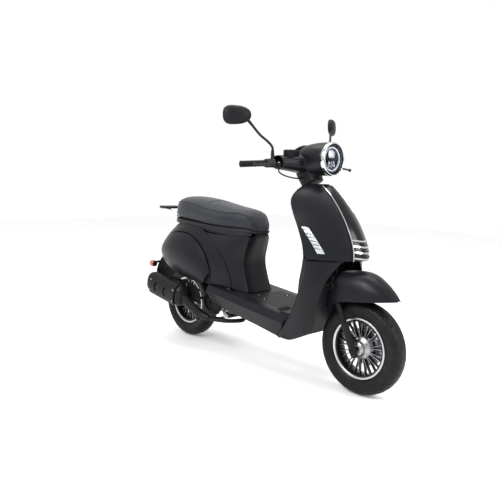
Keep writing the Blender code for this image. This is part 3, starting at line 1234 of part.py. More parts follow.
def make_engine():
    """Crankcase with the transmission arm, cylinder, fan cover and belt cover."""
    arm = stadium(CRANK, REAR_AXLE, 0.074, 0.062, 0.056, 0.086)
    block = turned([(0.052, -0.080), (0.058, -0.074), (0.058, 0.060)], CRANK, (0, 1, 0), 14)
    lug = loft([[Vector((x, y, z)) for x, z in ((-0.290, 0.262), (-0.155, 0.300), (-0.155, 0.330),
                                                (-0.290, 0.330))]
                for y in (-0.060, 0.060)])
    lug_space = box((-0.20, 0, 0.29), (0.14, 0.090, 0.10))
    pin_hole = cylinder(SWING_PIVOT - Vector((0, 0.1, 0)), SWING_PIVOT + Vector((0, 0.1, 0)), 0.0066, 8)
    shaft = cylinder(REAR_AXLE + Vector((0, -0.050, 0)), REAR_AXLE + Vector((0, 0.060, 0)), 0.0096, 10)
    drum = turned([(0.040, 0.0386), (0.058, 0.0386), (0.058, 0.0580), (0.040, 0.0580)], REAR_AXLE,
                  (0, 1, 0), 14)
    shock_lug = box((SHOCK_BOTTOM.x, 0.074, 0.290), (0.024, 0.022, 0.090))
    shock_pin = cylinder(SHOCK_BOTTOM + Vector((0, -0.030, 0)), SHOCK_BOTTOM + Vector((0, 0.010, 0)),
                         0.0045, 8)
    stand_ears = []
    for side in (-0.052, 0.052):
        ear = loft([[Vector((x, y, z)) for x, z in ((-0.290, 0.232), (-0.262, 0.178), (-0.238, 0.178),
                                                    (-0.238, 0.196),
                                                    (-0.264, 0.226))] for y in (side - 0.004,
                                                                                side + 0.004)])
        stand_ears.append(ear)
    stand_ears.append(cylinder(STAND_PIVOT - Vector((0, 0.054, 0)),
                               STAND_PIVOT + Vector((0, 0.054, 0)), 0.0050, 8))
    stand_ears.append(box((-0.280, 0, 0.2230), (0.020, 0.112, 0.012)))
    case = united(block, arm, cut(lug, lug_space), shaft, drum, shock_lug, shock_pin, *stand_ears)
    add_part("crankcase", cut(case, pin_hole), "cast_aluminium", "swing_unit")

    head = Vector((-0.175, 0, 0.250))
    slope = (head - CRANK).normalized()
    square = Vector((-slope.z, 0, slope.x))
    turn = Matrix((slope, Vector((0, 1, 0)), square)).transposed()
    start = CRANK + slope * 0.0588
    barrel = box(start + slope * 0.062, (0.122, 0.060, 0.062), turn)
    fins = []
    for k in range(5):
        fins.append(box(start + slope * (0.018 + 0.0160 * k), (0.0045, 0.084, 0.084), turn))
    fins.append(box(start + slope * 0.110, (0.026, 0.074, 0.074), turn))
    add_part("cylinder", united(barrel, *fins), "cast_aluminium", "swing_unit")

    fan = turned([(0.066, -0.0805), (0.076, -0.088), (0.076, -0.104), (0.060, -0.118), (0.044, -0.120),
                  (0.044, -0.112), (0.010, -0.110), (0.010, -0.0805)], CRANK, (0, 1, 0), 14, ring=True)
    add_part("fan_cover", fan, "black_plastic", "swing_unit")

    cover = stadium(CRANK, REAR_AXLE, 0.074, 0.060, 0.0864, 0.1450)
    hollow = stadium(CRANK, REAR_AXLE, 0.068, 0.054, 0.0800, 0.1400)
    boss = cylinder((KICK_PIVOT.x, 0.1440, KICK_PIVOT.z), (KICK_PIVOT.x, 0.1500, KICK_PIVOT.z), 0.014, 12)
    notch = box((SHOCK_BOTTOM.x, 0.112, 0.330), (0.060, 0.070, 0.100))
    add_part("transmission_cover", united(cut(cover, hollow, notch), boss), "cast_aluminium", "swing_unit")

    boss = turned([(0.012, 0.0005), (0.012, 0.0120), (0.008, 0.0150)], KICK_PIVOT, (0, 1, 0), 12)
    crank_arm = pipe([KICK_PIVOT + Vector((0, 0.007, 0)), KICK_PIVOT + Vector((-0.060, 0.012, 0.008)),
                      KICK_PIVOT + Vector((-0.140, 0.016, 0.004))], 0.0065, 8, 6)
    pedal = cylinder(KICK_PIVOT + Vector((-0.136, 0.010, 0.004)),
                     KICK_PIVOT + Vector((-0.136, 0.060, 0.004)), 0.009, 10)
    add_part("kick_starter", united(boss, crank_arm, pedal), "steel", "kick_lever")


MUFFLER_FRONT = Vector((-0.420, -0.216, 0.286))
MUFFLER_REAR = Vector((-0.740, -0.216, 0.334))


def muffler_rings(grow, start, end, side_only):
    """Oval sections of the silencer between two shares of its length."""
    axis = (MUFFLER_REAR - MUFFLER_FRONT).normalized()
    up = Vector((axis.z, 0, -axis.x)) * (1 if axis.x < 0 else -1)
    up = up if up.z > 0 else -up
    rings = []
    for s in np.linspace(start, end, 5):
        taper = 1 - 0.35 * max(0.0, (abs(2 * s - 1) - 0.82) / 0.18) ** 2
        centre = MUFFLER_FRONT.lerp(MUFFLER_REAR, s)
        ring = []
        count = 9 if side_only else 14
        for k in range(count):
            angle = math.radians(-70 + 140 * k / (count - 1)) if side_only else 2 * math.pi * k / count
            wide = (0.046 + grow) * taper * math.copysign(abs(math.cos(angle)) ** 0.8, math.cos(angle))
            tall = (0.060 + grow) * taper * math.copysign(abs(math.sin(angle)) ** 0.8, math.sin(angle))
            ring.append(centre + Vector((0, -1, 0)) * wide + up * tall)
        rings.append(ring)
    return rings


def make_exhaust():
    """Header pipe from the cylinder head, silencer and its bracket; then the outer heat shield."""
    can = loft(muffler_rings(0.0, 0.0, 1.0, False))
    header = pipe([(-0.150, -0.004, 0.2000), (-0.150, -0.005, 0.191), (-0.144, -0.040, 0.184),
                   (-0.200, -0.118, 0.184), (-0.320, -0.156, 0.190), (-0.395, -0.192, 0.244),
                   (-0.440, -0.214, 0.290)], 0.0115, 7, 12)
    tail = cylinder(MUFFLER_REAR.lerp(MUFFLER_FRONT, 0.05) + Vector((0, 0, -0.012)),
                    MUFFLER_REAR + Vector((-0.028, 0, -0.014)), 0.011, 10)
    bracket = loft([[Vector((x, y, z)) for x, z in ((-0.385, 0.300), (-0.350, 0.262), (-0.500, 0.282),
                                                    (-0.500, 0.312))]
                    for y in (-0.176, -0.170)])
    stay = cylinder((-0.372, -0.172, 0.284), (-0.352, -0.1236, 0.284), 0.007, 8)
    add_part("exhaust", united(can, header, tail, bracket, stay), "black_steel", "swing_unit")
    shield = sheet(muffler_rings(0.0065, 0.10, 0.86, True), 0.0025)
    slots = []
    for s in (0.36, 0.62):
        centre = MUFFLER_FRONT.lerp(MUFFLER_REAR, s) - Vector((0, 0.05, 0))
        slots.append(turned([(0.016, -0.03), (0.026, -0.03), (0.026, 0.03), (0.016, 0.03)], centre,
                            (0, 1, 0), 14, ring=True))
        blank = box(centre + Vector((0.030, 0, 0)), (0.050, 0.08, 0.09))
        slots[-1] = cut(slots[-1], blank)
    add_part("heat_shield", cut(shield, *slots), "black_plastic", "swing_unit")


def make_shock():
    """Rear shock absorber: hinged damper body, sliding rod with its eye, and the spring between."""
    axis = (SHOCK_BOTTOM - SHOCK_TOP).normalized()
    length = (SHOCK_BOTTOM - SHOCK_TOP).length
    eye = turned([(0.0056, -0.009), (0.0130, -0.009), (0.0130, 0.009), (0.0056, 0.009)], SHOCK_TOP,
                 (0, 1, 0), 14, ring=True)
    damper = turned([(0.0080, 0.0120), (0.0200, 0.0200), (0.0230, 0.0230), (0.0230, 0.0290),
                     (0.0120, 0.0300), (0.0120, 0.1150), (0.0070, 0.1160), (0.0070, 0.0400),
                     (0.0020, 0.0390)], SHOCK_TOP, axis, 14)
    add_part("shock_body", united(eye, damper), "steel", "shock_upper")
    rod = turned([(0.0030, 0.1010), (0.0050, 0.1020), (0.0050, length - 0.052),
                  (0.0230, length - 0.050), (0.0230, length - 0.044), (0.0080, length - 0.040),
                  (0.0080, length - 0.0100)], SHOCK_TOP, axis, 14)
    low_eye = turned([(0.0072, -0.009), (0.0130, -0.009), (0.0130, 0.009), (0.0072, 0.009)],
                     SHOCK_BOTTOM, (0, 1, 0), 14, ring=True)
    add_part("shock_rod", united(rod, low_eye), "steel", "shock_lower")
    turns, start, end = 6.0, 0.0330, length - 0.0540
    first, second = across(axis)
    coil = []
    for k in range(int(turns * 7) + 1):
        s = k / (turns * 7)
        angle = 2 * math.pi * turns * s
        flat = start + (end - start) * min(max((s - 0.06) / 0.88, 0), 1)
        coil.append(SHOCK_TOP + axis * flat + (first * math.cos(angle) + second * math.sin(angle)) * 0.0185)
    add_part("shock_spring", pipe(coil, 0.0030, 4), "steel", "shock_upper")


def make_stand():
    """Centre stand folded back under the engine: pivot tube, two legs and feet."""
    pivot = turned([(0.0058, -0.046), (0.0115, -0.046), (0.0115, 0.046), (0.0058, 0.046)], STAND_PIVOT,
                   (0, 1, 0), 12,
                   ring=True)
    legs = []
    for sign in (-1, 1):
        legs.append(pipe([STAND_PIVOT + Vector((-0.008, sign * 0.037, -0.002)),
                          (-0.300, sign * 0.044, 0.166),
                          (-0.370, sign * 0.092, 0.159), (-0.418, sign * 0.108, 0.152)], 0.0085, 6, 5))
        foot = Vector((-0.420, sign * 0.109, 0.152))
        legs.append(cylinder(foot - Vector((0, 0.015, 0)), foot + Vector((0, 0.015, 0)), 0.011, 6))
    brace = cylinder((-0.300, -0.060, 0.166), (-0.300, 0.060, 0.166), 0.006, 6)
    add_part("centre_stand", united(pivot, brace, *legs), "black_steel", "stand")


# ---------------------------------------------------------------- whole scooter
def main():
    for old in list(bpy.data.objects):
        bpy.data.objects.remove(old)
    make_bodies()
    make_wheels()
    make_fork()
    make_front_cover()
    make_tie()
    make_front_indicators()
    make_wheel_arch()
    make_inner_shield()
    make_ignition()
    make_fender()
    make_stem()
    make_handlebar()
    make_grips()
    make_levers()
    make_buttons()
    make_mirrors()
    make_headset()
    make_lamp_and_dial()
    make_brake_hose()
    make_floor()
    make_frame()
    make_under_seat_panel()
    make_body_panels()
    make_side_cowls()
    make_tail()
    make_rear_fender()
    make_rear_indicators()
    make_rack()
    make_seat()
    make_storage()
    make_engine()
    make_exhaust()
    make_shock()
    make_stand()


main()
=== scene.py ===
"""Looks of the moped scooter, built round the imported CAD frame."""

import json
import math

import bmesh
import bpy
import numpy as np
from mathutils import Matrix, Vector
from mathutils.bvhtree import BVHTree

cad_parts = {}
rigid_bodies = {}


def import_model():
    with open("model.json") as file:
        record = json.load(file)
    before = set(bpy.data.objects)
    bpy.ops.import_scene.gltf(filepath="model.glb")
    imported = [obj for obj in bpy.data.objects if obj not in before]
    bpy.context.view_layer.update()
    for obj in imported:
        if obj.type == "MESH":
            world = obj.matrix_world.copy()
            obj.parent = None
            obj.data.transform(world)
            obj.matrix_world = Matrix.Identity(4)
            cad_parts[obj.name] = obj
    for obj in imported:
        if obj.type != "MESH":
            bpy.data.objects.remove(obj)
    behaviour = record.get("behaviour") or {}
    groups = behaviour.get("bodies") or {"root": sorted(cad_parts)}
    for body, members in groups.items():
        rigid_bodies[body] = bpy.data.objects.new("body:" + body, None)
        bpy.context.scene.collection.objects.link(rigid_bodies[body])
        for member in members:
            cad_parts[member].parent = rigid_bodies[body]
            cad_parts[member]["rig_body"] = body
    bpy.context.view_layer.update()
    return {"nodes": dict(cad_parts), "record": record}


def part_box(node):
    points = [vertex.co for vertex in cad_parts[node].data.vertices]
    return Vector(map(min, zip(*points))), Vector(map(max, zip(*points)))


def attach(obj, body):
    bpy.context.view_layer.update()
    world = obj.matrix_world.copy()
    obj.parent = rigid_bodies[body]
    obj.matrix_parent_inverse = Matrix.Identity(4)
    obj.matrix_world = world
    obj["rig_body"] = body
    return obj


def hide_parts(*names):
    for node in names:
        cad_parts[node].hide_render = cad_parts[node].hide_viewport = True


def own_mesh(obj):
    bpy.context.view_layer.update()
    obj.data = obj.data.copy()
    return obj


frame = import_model()
nodes = frame["nodes"]
scene = bpy.context.scene
body_of = {n: o["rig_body"] for n, o in nodes.items()}
slot_of = {s["node"]: s["material_slot"] for s in frame["record"]["subparts"]}

# ------------------------------------------------------------------ dimensions shared with the CAD
DATUM_X = 0.0308
RAKE = math.radians(25.5)
STEER_AXIS = Vector((-math.sin(RAKE), 0.0, math.cos(RAKE)))
STEER_FORWARD = Vector((math.cos(RAKE), 0.0, math.sin(RAKE)))
AXLE_Z = 0.215 * math.cos(math.pi / 24)
FRONT_AXLE = Vector((0.625 + DATUM_X, 0, AXLE_Z))
REAR_AXLE = Vector((-0.625 + DATUM_X, 0, AXLE_Z))
STEER_FOOT = FRONT_AXLE - STEER_FORWARD * 0.018
LAMP = Vector((0.403 + DATUM_X, 0, 1.053))
SIDES = ((-1, "right"), (1, "left"))
X, Y, Z = (1, 0, 0), (0, 1, 0), (0, 0, 1)
TAU = math.tau


# ------------------------------------------------------------------ materials
class Nodes:
    """Short hand for building one material's node tree."""

    def __init__(self, name, colour, roughness, metallic):
        self.material = bpy.data.materials.new(name)
        self.material.use_nodes = True
        self.tree = self.material.node_tree
        self.shader = self.tree.nodes["Principled BSDF"]
        self.shader.inputs["Base Color"].default_value = (*colour, 1)
        self.shader.inputs["Roughness"].default_value = roughness
        self.shader.inputs["Metallic"].default_value = metallic
        self.coords = self.add("ShaderNodeTexCoord").outputs["Object"]

    def add(self, kind, **values):
        node = self.tree.nodes.new(kind)
        for key, value in values.items():
            if hasattr(node, key):
                setattr(node, key, value)
            else:
                node.inputs[key.replace("_", " ")].default_value = value
        return node

    def link(self, a, b):
        self.tree.links.new(a, b)

    def noise(self, scale, detail=3.0, rough=0.55, coords=None):
        node = self.add("ShaderNodeTexNoise", Scale=scale, Detail=detail, Roughness=rough)
        self.link(coords or self.coords, node.inputs["Vector"])
        return node.outputs["Fac"]

    def ramp(self, source, stops):
        node = self.add("ShaderNodeValToRGB")
        elements = node.color_ramp.elements
        while len(elements) < len(stops):
            elements.new(0.5)
        for element, (place, colour) in zip(elements, stops):
            element.position = place
            element.color = (*colour, 1) if len(colour) == 3 else colour
        self.link(source, node.inputs["Fac"])
        return node.outputs["Color"]

    def grey(self, source, low, high, start=0.0, end=1.0):
        node = self.add("ShaderNodeMapRange")
        node.inputs["From Min"].default_value = start
        node.inputs["From Max"].default_value = end
        node.inputs["To Min"].default_value = low
        node.inputs["To Max"].default_value = high
        self.link(source, node.inputs["Value"])
        return node.outputs["Result"]

    def bump(self, height, strength, distance, after=None):
        node = self.add("ShaderNodeBump", Strength=strength, Distance=distance)
        self.link(height, node.inputs["Height"])
        if after is not None:
            self.link(after, node.inputs["Normal"])
        self.link(node.outputs["Normal"], self.shader.inputs["Normal"])
        return node.outputs["Normal"]

    def dull(self, level):
        self.shader.inputs["Specular IOR Level"].default_value = level

    def colour(self, socket):
        self.link(socket, self.shader.inputs["Base Color"])

    def rough(self, socket):
        self.link(socket, self.shader.inputs["Roughness"])


def mixed(base, amount):
    return tuple(max(0.0, c * amount) for c in base)


def paint(name, base, rough, coat=0.0, coat_rough=0.1, flake=0.02, spec=0.5):
    n = Nodes(name, base, rough, 0.0)
    n.dull(spec)
    cloud = n.noise(9.0, 4.0)
    n.colour(n.ramp(cloud, [(0.3, mixed(base, 0.9)), (0.7, mixed(base, 1.12))]))
    n.rough(n.grey(n.noise(42.0, 5.0), rough - 0.03, rough + 0.04, 0.3, 0.7))
    n.bump(n.noise(900.0, 2.0), flake, 0.0006)
    n.shader.inputs["Coat Weight"].default_value = coat
    n.shader.inputs["Coat Roughness"].default_value = coat_rough
    return n.material


def plastic(name, base, rough, grain=700.0, strength=0.1, spec=0.14):
    n = Nodes(name, base, rough, 0.0)
    n.dull(spec)
    n.colour(n.ramp(n.noise(14.0, 4.0), [(0.3, mixed(base, 0.85)), (0.7, mixed(base, 1.2))]))
    n.rough(n.grey(n.noise(60.0, 4.0), rough - 0.06, rough + 0.06, 0.3, 0.7))
    cells = n.add("ShaderNodeTexVoronoi", Scale=grain)
    n.link(n.coords, cells.inputs["Vector"])
    n.bump(cells.outputs["Distance"], strength, 0.0004)
    return n.material


def metal(name, base, rough, grain=(1.0, 1.0, 1.0), scale=120.0, spread=0.05, dents=0.03):
    n = Nodes(name, base, rough, 1.0)
    place = n.add("ShaderNodeMapping")
    place.inputs["Scale"].default_value = grain
    n.link(n.coords, place.inputs["Vector"])
    fine = n.noise(scale, 6.0, 0.6, place.outputs["Vector"])
    n.colour(n.ramp(n.noise(18.0, 4.0), [(0.3, mixed(base, 0.86)), (0.7, mixed(base, 1.0))]))
    n.rough(n.grey(fine, max(rough - spread, 0.02), rough + spread, 0.25, 0.75))
    n.bump(fine, dents, 0.0004)
    return n.material


def cast(name, base, rough, metallic=1.0, strength=0.25):
    n = Nodes(name, base, rough, metallic)
    n.dull(0.16)
    grit = n.noise(520.0, 5.0, 0.65)
    n.colour(n.ramp(n.noise(22.0, 5.0), [(0.25, mixed(base, 0.7)), (0.75, mixed(base, 1.1))]))
    n.rough(n.grey(n.noise(70.0, 5.0), rough - 0.08, rough + 0.1, 0.3, 0.7))
    n.bump(grit, strength, 0.0008)
    return n.material


def vinyl(name, base, rough):
    """Grained upholstery: cells between fine creases."""
    n = Nodes(name, base, rough, 0.0)
    n.dull(0.16)
    cells = n.add("ShaderNodeTexVoronoi", Scale=330.0)
    cells.feature = "DISTANCE_TO_EDGE"
    n.link(n.coords, cells.inputs["Vector"])
    crease = n.grey(cells.outputs["Distance"], 0.0, 1.0, 0.0, 0.18)
    n.colour(n.ramp(n.noise(7.0, 5.0), [(0.3, mixed(base, 0.85)), (0.7, mixed(base, 1.15))]))
    n.rough(n.grey(n.noise(38.0, 4.0), rough - 0.05, rough + 0.06, 0.3, 0.7))
    first = n.bump(crease, 0.22, 0.0007)
    n.bump(n.noise(26.0, 3.0), 0.1, 0.004, first)
    n.shader.inputs["Sheen Weight"].default_value = 0.1
    n.shader.inputs["Sheen Roughness"].default_value = 0.5
    return n.material


def lens(name, base, rough=0.12, cells=240.0, metallic=0.0, depth=0.5, emit=0.0):
    """Clear moulding over a patterned reflector."""
    n = Nodes(name, base, rough, metallic)
    tiles = n.add("ShaderNodeTexVoronoi", Scale=cells)
    tiles.feature = "F1"
    n.link(n.coords, tiles.inputs["Vector"])
    n.colour(n.ramp(tiles.outputs["Distance"], [(0.0, mixed(base, 1.15)), (0.8, mixed(base, 0.55))]))
    n.bump(tiles.outputs["Distance"], depth, 0.0014)
    n.shader.inputs["Coat Weight"].default_value = 1.0
    n.shader.inputs["Coat Roughness"].default_value = 0.04
    if emit:
        n.shader.inputs["Emission Color"].default_value = (1, 1, 1, 1)
        n.shader.inputs["Emission Strength"].default_value = emit
    return n.material


def tyre_look():
    n = Nodes("tyre_look", (0.006, 0.0062, 0.0068), 0.46, 0.0)
    n.dull(0.13)
    n.colour(n.ramp(n.noise(30.0, 6.0), [(0.3, (0.004, 0.0042, 0.0046)), (0.75, (0.009, 0.0094, 0.0102))]))
    n.rough(n.grey(n.noise(80.0, 5.0), 0.36, 0.56, 0.3, 0.7))
    n.bump(n.noise(600.0, 4.0), 0.12, 0.0005)
    return n.material


MAT = {
    "body_paint": paint("satin_body_paint", (0.0042, 0.0046, 0.0062), 0.36, 0.04, 0.3, spec=0.15),
    "gloss_black": paint("gloss_black_paint", (0.0024, 0.0024, 0.0032), 0.2, 0.1, 0.06, 0.0, 0.2),
    "black_plastic": plastic("moulded_black_plastic", (0.0056, 0.0058, 0.0068), 0.5),
    "seat_vinyl": vinyl("grained_seat_vinyl", (0.0125, 0.0142, 0.019), 0.44),
    "rubber": plastic("soft_black_rubber", (0.006, 0.006, 0.0068), 0.6, 500.0, 0.2, 0.12),
    "tyre_rubber": tyre_look(),
    "chrome": metal("polished_chrome", (0.62, 0.63, 0.65), 0.1, scale=60.0, spread=0.02, dents=0.004),
    "aluminium": metal("machined_aluminium", (0.44, 0.45, 0.46), 0.28, (1.0, 8.0, 1.0), 220.0, 0.08, 0.05),
    "cast_aluminium": cast("cast_aluminium_skin", (0.46, 0.46, 0.47), 0.42),
    "black_steel": cast("coated_black_steel", (0.0078, 0.0078, 0.0092), 0.38, 0.1, 0.08),
    "steel": metal("brushed_steel_grain", (0.56, 0.56, 0.58), 0.28, (1.0, 1.0, 9.0), 160.0, 0.08, 0.05),
    "amber_lens": lens("amber_moulded_lens", (0.46, 0.085, 0.012), 0.18, 330.0),
    "red_lens": lens("red_moulded_lens", (0.55, 0.01, 0.01), 0.15, 330.0),
    "clear_lens": lens("clear_patterned_lens", (0.72, 0.75, 0.8), 0.1, 260.0, 0.7),
    "dial_glass": plastic("dial_housing", (0.006, 0.006, 0.007), 0.25, 600.0, 0.03),
    "red_plastic": plastic("red_button", (0.5, 0.02, 0.015), 0.35),
    "yellow_plastic": plastic("yellow_button", (0.62, 0.42, 0.03), 0.35),
}


# ------------------------------------------------------------------ pieces
def show(name, mesh, look, body, node=None, sharp=38):
    """A smooth shaded piece on its body, in place of its CAD node if one is named."""
    mesh.name = name
    mesh.shade_smooth()
    mesh.set_sharp_from_angle(angle=math.radians(sharp))
    mesh.materials.clear()
    mesh.materials.append(MAT[look])
    piece = bpy.data.objects.new(name, mesh)
    scene.collection.objects.link(piece)
    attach(piece, body)
    if node:
        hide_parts(node)
    return piece


def joined_faces(node, face_angle, shape_angle, dissolve=True):
    """A copy of the node's mesh whose triangles are joined into larger faces again."""
    work = bmesh.new()
    work.from_mesh(nodes[node].data)
    bmesh.ops.remove_doubles(work, verts=work.verts, dist=2e-5)
    if dissolve:
        bmesh.ops.dissolve_degenerate(work, edges=work.edges, dist=1e-5)
    bmesh.ops.join_triangles(work, faces=work.faces, cmp_seam=False, cmp_sharp=False,
            angle_face_threshold=math.radians(face_angle), angle_shape_threshold=math.radians(shape_angle))
    mesh = bpy.data.meshes.new(node + "_work")
    work.to_mesh(mesh)
    work.free()
    return mesh


def refined(node, width):
    """The node's own shape with rounded edges and fine curvature."""
    bevel = {"width": width, "segments": 2, "limit_method": "ANGLE", "angle_limit": math.radians(36),
            "use_clamp_overlap": True}
    made = processed(joined_faces(node, 25, 60), ("BEVEL", bevel),
            ("SUBSURF", {"levels": 2, "render_levels": 2}))
    show(node + "_skin", made, slot_of[node], body_of[node], node=node)


def sweep_arch_edge(arch):
    """Sweeps the arch's rear edge forward towards its top, to meet the cover's edge above it."""
    for v in arch.data.vertices:
        rise = min(max((v.co.z - 0.47) / 0.127, 0.0), 1.0)
        behind = min(max((0.432 + DATUM_X - v.co.x) / 0.063, 0.0), 1.0)
        if abs(v.co.y) > 0.1:
            v.co.x += 0.0155 * rise * rise * (3 - 2 * rise) * behind


# ------------------------------------------------------------------ mesh makers
def mesh_of(verts, faces):
    mesh = bpy.data.meshes.new("shape")
    mesh.from_pydata([tuple(v) for v in verts], [], faces)
    work = bmesh.new()
    work.from_mesh(mesh)
    bmesh.ops.remove_doubles(work, verts=work.verts, dist=1e-6)
    bmesh.ops.recalc_face_normals(work, faces=work.faces)
    work.to_mesh(mesh)
    work.free()
    return mesh


def rows_to_faces(rows, cols, closed_rows=False, closed_cols=True):
    faces = []
    for i in range(rows if closed_rows else rows - 1):
        for j in range(cols if closed_cols else cols - 1):
            a, b = i * cols + j, i * cols + (j + 1) % cols
            k = (i + 1) % rows
            faces.append((a, b, k * cols + (j + 1) % cols, k * cols + j))
    return faces


def loft(rings):
    n = len(rings[0])
    faces = rows_to_faces(len(rings), n)
    faces += [tuple(range(n))[::-1], tuple(range((len(rings) - 1) * n, len(rings) * n))]
    return mesh_of([p for ring in rings for p in ring], faces)


def across(axis):
    axis = Vector(axis).normalized()
    helper = Vector(Y) if abs(axis.y) < 0.9 else Vector(Z)
    first = axis.cross(helper).normalized()
    return first, axis.cross(first).normalized()


def rounded(points, radius, steps, closed):
    """The outline with each corner replaced by a short arc."""
    made = []
    n = len(points)
    for i, p in enumerate(points):
        p = Vector(p)
        if not closed and i in (0, n - 1):
            made.append(tuple(p))
            continue
        a, b = Vector(points[i - 1]) - p, Vector(points[(i + 1) % n]) - p
        reach = min(radius, a.length * 0.45, b.length * 0.45)
        start, end = p + a.normalized() * reach, p + b.normalized() * reach
        for k in range(steps + 1):
            t = k / steps
            made.append(tuple(start * (1 - t) ** 2 + p * 2 * t * (1 - t) + end * t * t))
    return made


def turned(profile, centre, axis, segments=64, ring=False, edge=0.0008):
    """Solid of revolution whose corners are rounded by `edge`."""
    if edge:
        profile = rounded(profile, edge, 2, ring)
    axis = Vector(axis).normalized()
    first, second = across(axis)
    rings = []
    for radius, along in profile:
        circle = []
        for k in range(segments):
            angle = TAU * k / segments
            circle.append(Vector(centre) + axis * along + (first * math.cos(angle) + second
                    * math.sin(angle)) * radius)
        rings.append(circle)
    if not ring:
        return loft(rings)
    return mesh_of([p for c in rings for p in c], rows_to_faces(len(rings), segments, True))


def curve_points(points, count):
    """`count` evenly spread points of a Catmull-Rom curve."""
    pts = [Vector(p) for p in points]
    pts = [2 * pts[0] - pts[1]] + pts + [2 * pts[-1] - pts[-2]]
    dense = []
    for i in range(1, len(pts) - 2):
        a, b, c, d = pts[i - 1:i + 3]
        for k in range(16):
            t = k / 16
            dense.append(0.5 * (2 * b + (c - a) * t + (2 * a - 5 * b + 4 * c - d) * t ** 2
                    + (3 * b - a - 3 * c + d) * t ** 3))
    dense.append(pts[-2])
    places = np.concatenate([[0], np.cumsum([(q - p).length for p, q in zip(dense, dense[1:])])])
    table = np.array([tuple(p) for p in dense])
    want = np.linspace(0, places[-1], count)
    return [Vector([float(np.interp(w, places, table[:, k])) for k in range(3)]) for w in want]


def pipe(points, radius, sides=16, samples=None, closed=False):
    path = curve_points(points, samples) if samples else [Vector(p) for p in points]
    rings = []
    normal = None
    for i, p in enumerate(path):
        if closed:
            tangent = (path[(i + 1) % len(path)] - path[i - 1]).normalized()
        else:
            tangent = (path[min(i + 1, len(path) - 1)] - path[max(i - 1, 0)]).normalized()
        normal = across(tangent)[0] if normal is None else (normal - tangent
                * normal.dot(tangent)).normalized()
        other = tangent.cross(normal)
        r = radius(i / (len(path) - 1)) if callable(radius) else radius
        rings.append([p + (normal * math.cos(a) + other * math.sin(a)) * r
                for a in [TAU * k / sides for k in range(sides)]])
    if closed:
        return mesh_of([q for ring in rings for q in ring], rows_to_faces(len(rings), sides, True))
    return loft(rings)


def block(centre, size, turn=None, bevel=0.001):
    """Bevelled block."""
    work = bmesh.new()
    bmesh.ops.create_cube(work, size=1.0)
    for v in work.verts:
        v.co = Vector([c * s for c, s in zip(v.co, size)])
    if bevel:
        bmesh.ops.bevel(work, geom=list(work.edges), offset=bevel, segments=2, affect="EDGES", profile=0.5)
    matrix = (turn.to_4x4() if turn else Matrix.Identity(4))
    matrix.translation = Vector(centre)
    work.transform(matrix)
    mesh = bpy.data.meshes.new("block")
    work.to_mesh(mesh)
    work.free()
    return mesh


def together(meshes):
    work = bmesh.new()
    for mesh in meshes:
        work.from_mesh(mesh)
    made = bpy.data.meshes.new("together")
    work.to_mesh(made)
    work.free()
    return made


def evaluated(host):
    """A new mesh of the object with its modifiers applied."""
    return bpy.data.meshes.new_from_object(host.evaluated_get(bpy.context.evaluated_depsgraph_get()))


def processed(mesh, *steps):
    """The mesh after modifiers, each given as (type, {settings})."""
    host = bpy.data.objects.new("host", mesh)
    scene.collection.objects.link(host)
    helpers = []
    for kind, settings in steps:
        modifier = host.modifiers.new("step", kind)
        for key, value in settings.items():
            if key == "object":
                helper = bpy.data.objects.new("tool", value)
                scene.collection.objects.link(helper)
                helpers.append(helper)
                value = helper
            setattr(modifier, key, value)
    made = evaluated(host)
    for helper in helpers + [host]:
        bpy.data.objects.remove(helper)
    return made


def boolean(operation, base, tools):
    return processed(base, *[("BOOLEAN", {"operation": operation, "solver": "EXACT", "object": t})
            for t in tools])


def cut(base, *tools):
    return boolean("DIFFERENCE", base, tools)


def united(base, *tools):
    return boolean("UNION", base, tools)


def outline_ring(centre, right, up, half_width, half_height, power=2.6, count=48):
    ring = []
    for k in range(count):
        angle = TAU * (k + 0.5) / count
        c, s = math.cos(angle), math.sin(angle)
        ring.append(Vector(centre) + Vector(right) * math.copysign(abs(c) ** (2 / power), c) * half_width
                + Vector(up) * math.copysign(abs(s) ** (2 / power), s) * half_height)
    return ring


def world(x, y, z):
    """A point of the scooter's own frame, whose origin is midway between the axles."""
    return Vector((x + DATUM_X, y, z))


def places(points, sign=1):
    """The points as world() gives them, mirrored for the right side with sign -1."""
    return [world(x, sign * y, z) for x, y, z in points]


def milli(*values):
    """Thousandths, nested as given: a length in millimetres becomes metres."""
    return [milli(*v) if isinstance(v, tuple) else round(v / 1000, 7) for v in values]


def open_sheet(verts, rows, cols):
    """A sheet from rows of points, open on all sides."""
    mesh = bpy.data.meshes.new("sheet")
    mesh.from_pydata([tuple(v) for v in verts], [], rows_to_faces(rows, cols, False, False))
    return mesh


def circle_point(centre, radius, angle, y=0.0):
    """A point of a circle round a wheel axle, moved sideways by y."""
    return centre + Vector((math.cos(angle) * radius, y, math.sin(angle) * radius))


# ------------------------------------------------------------------ wheels
TYRE_STEPS = 560
TREAD_BLOCKS = 34
TREAD_RADIUS = 0.186
TREAD_HALF_WIDTH = 0.042
SPOKE_PAIRS = 13


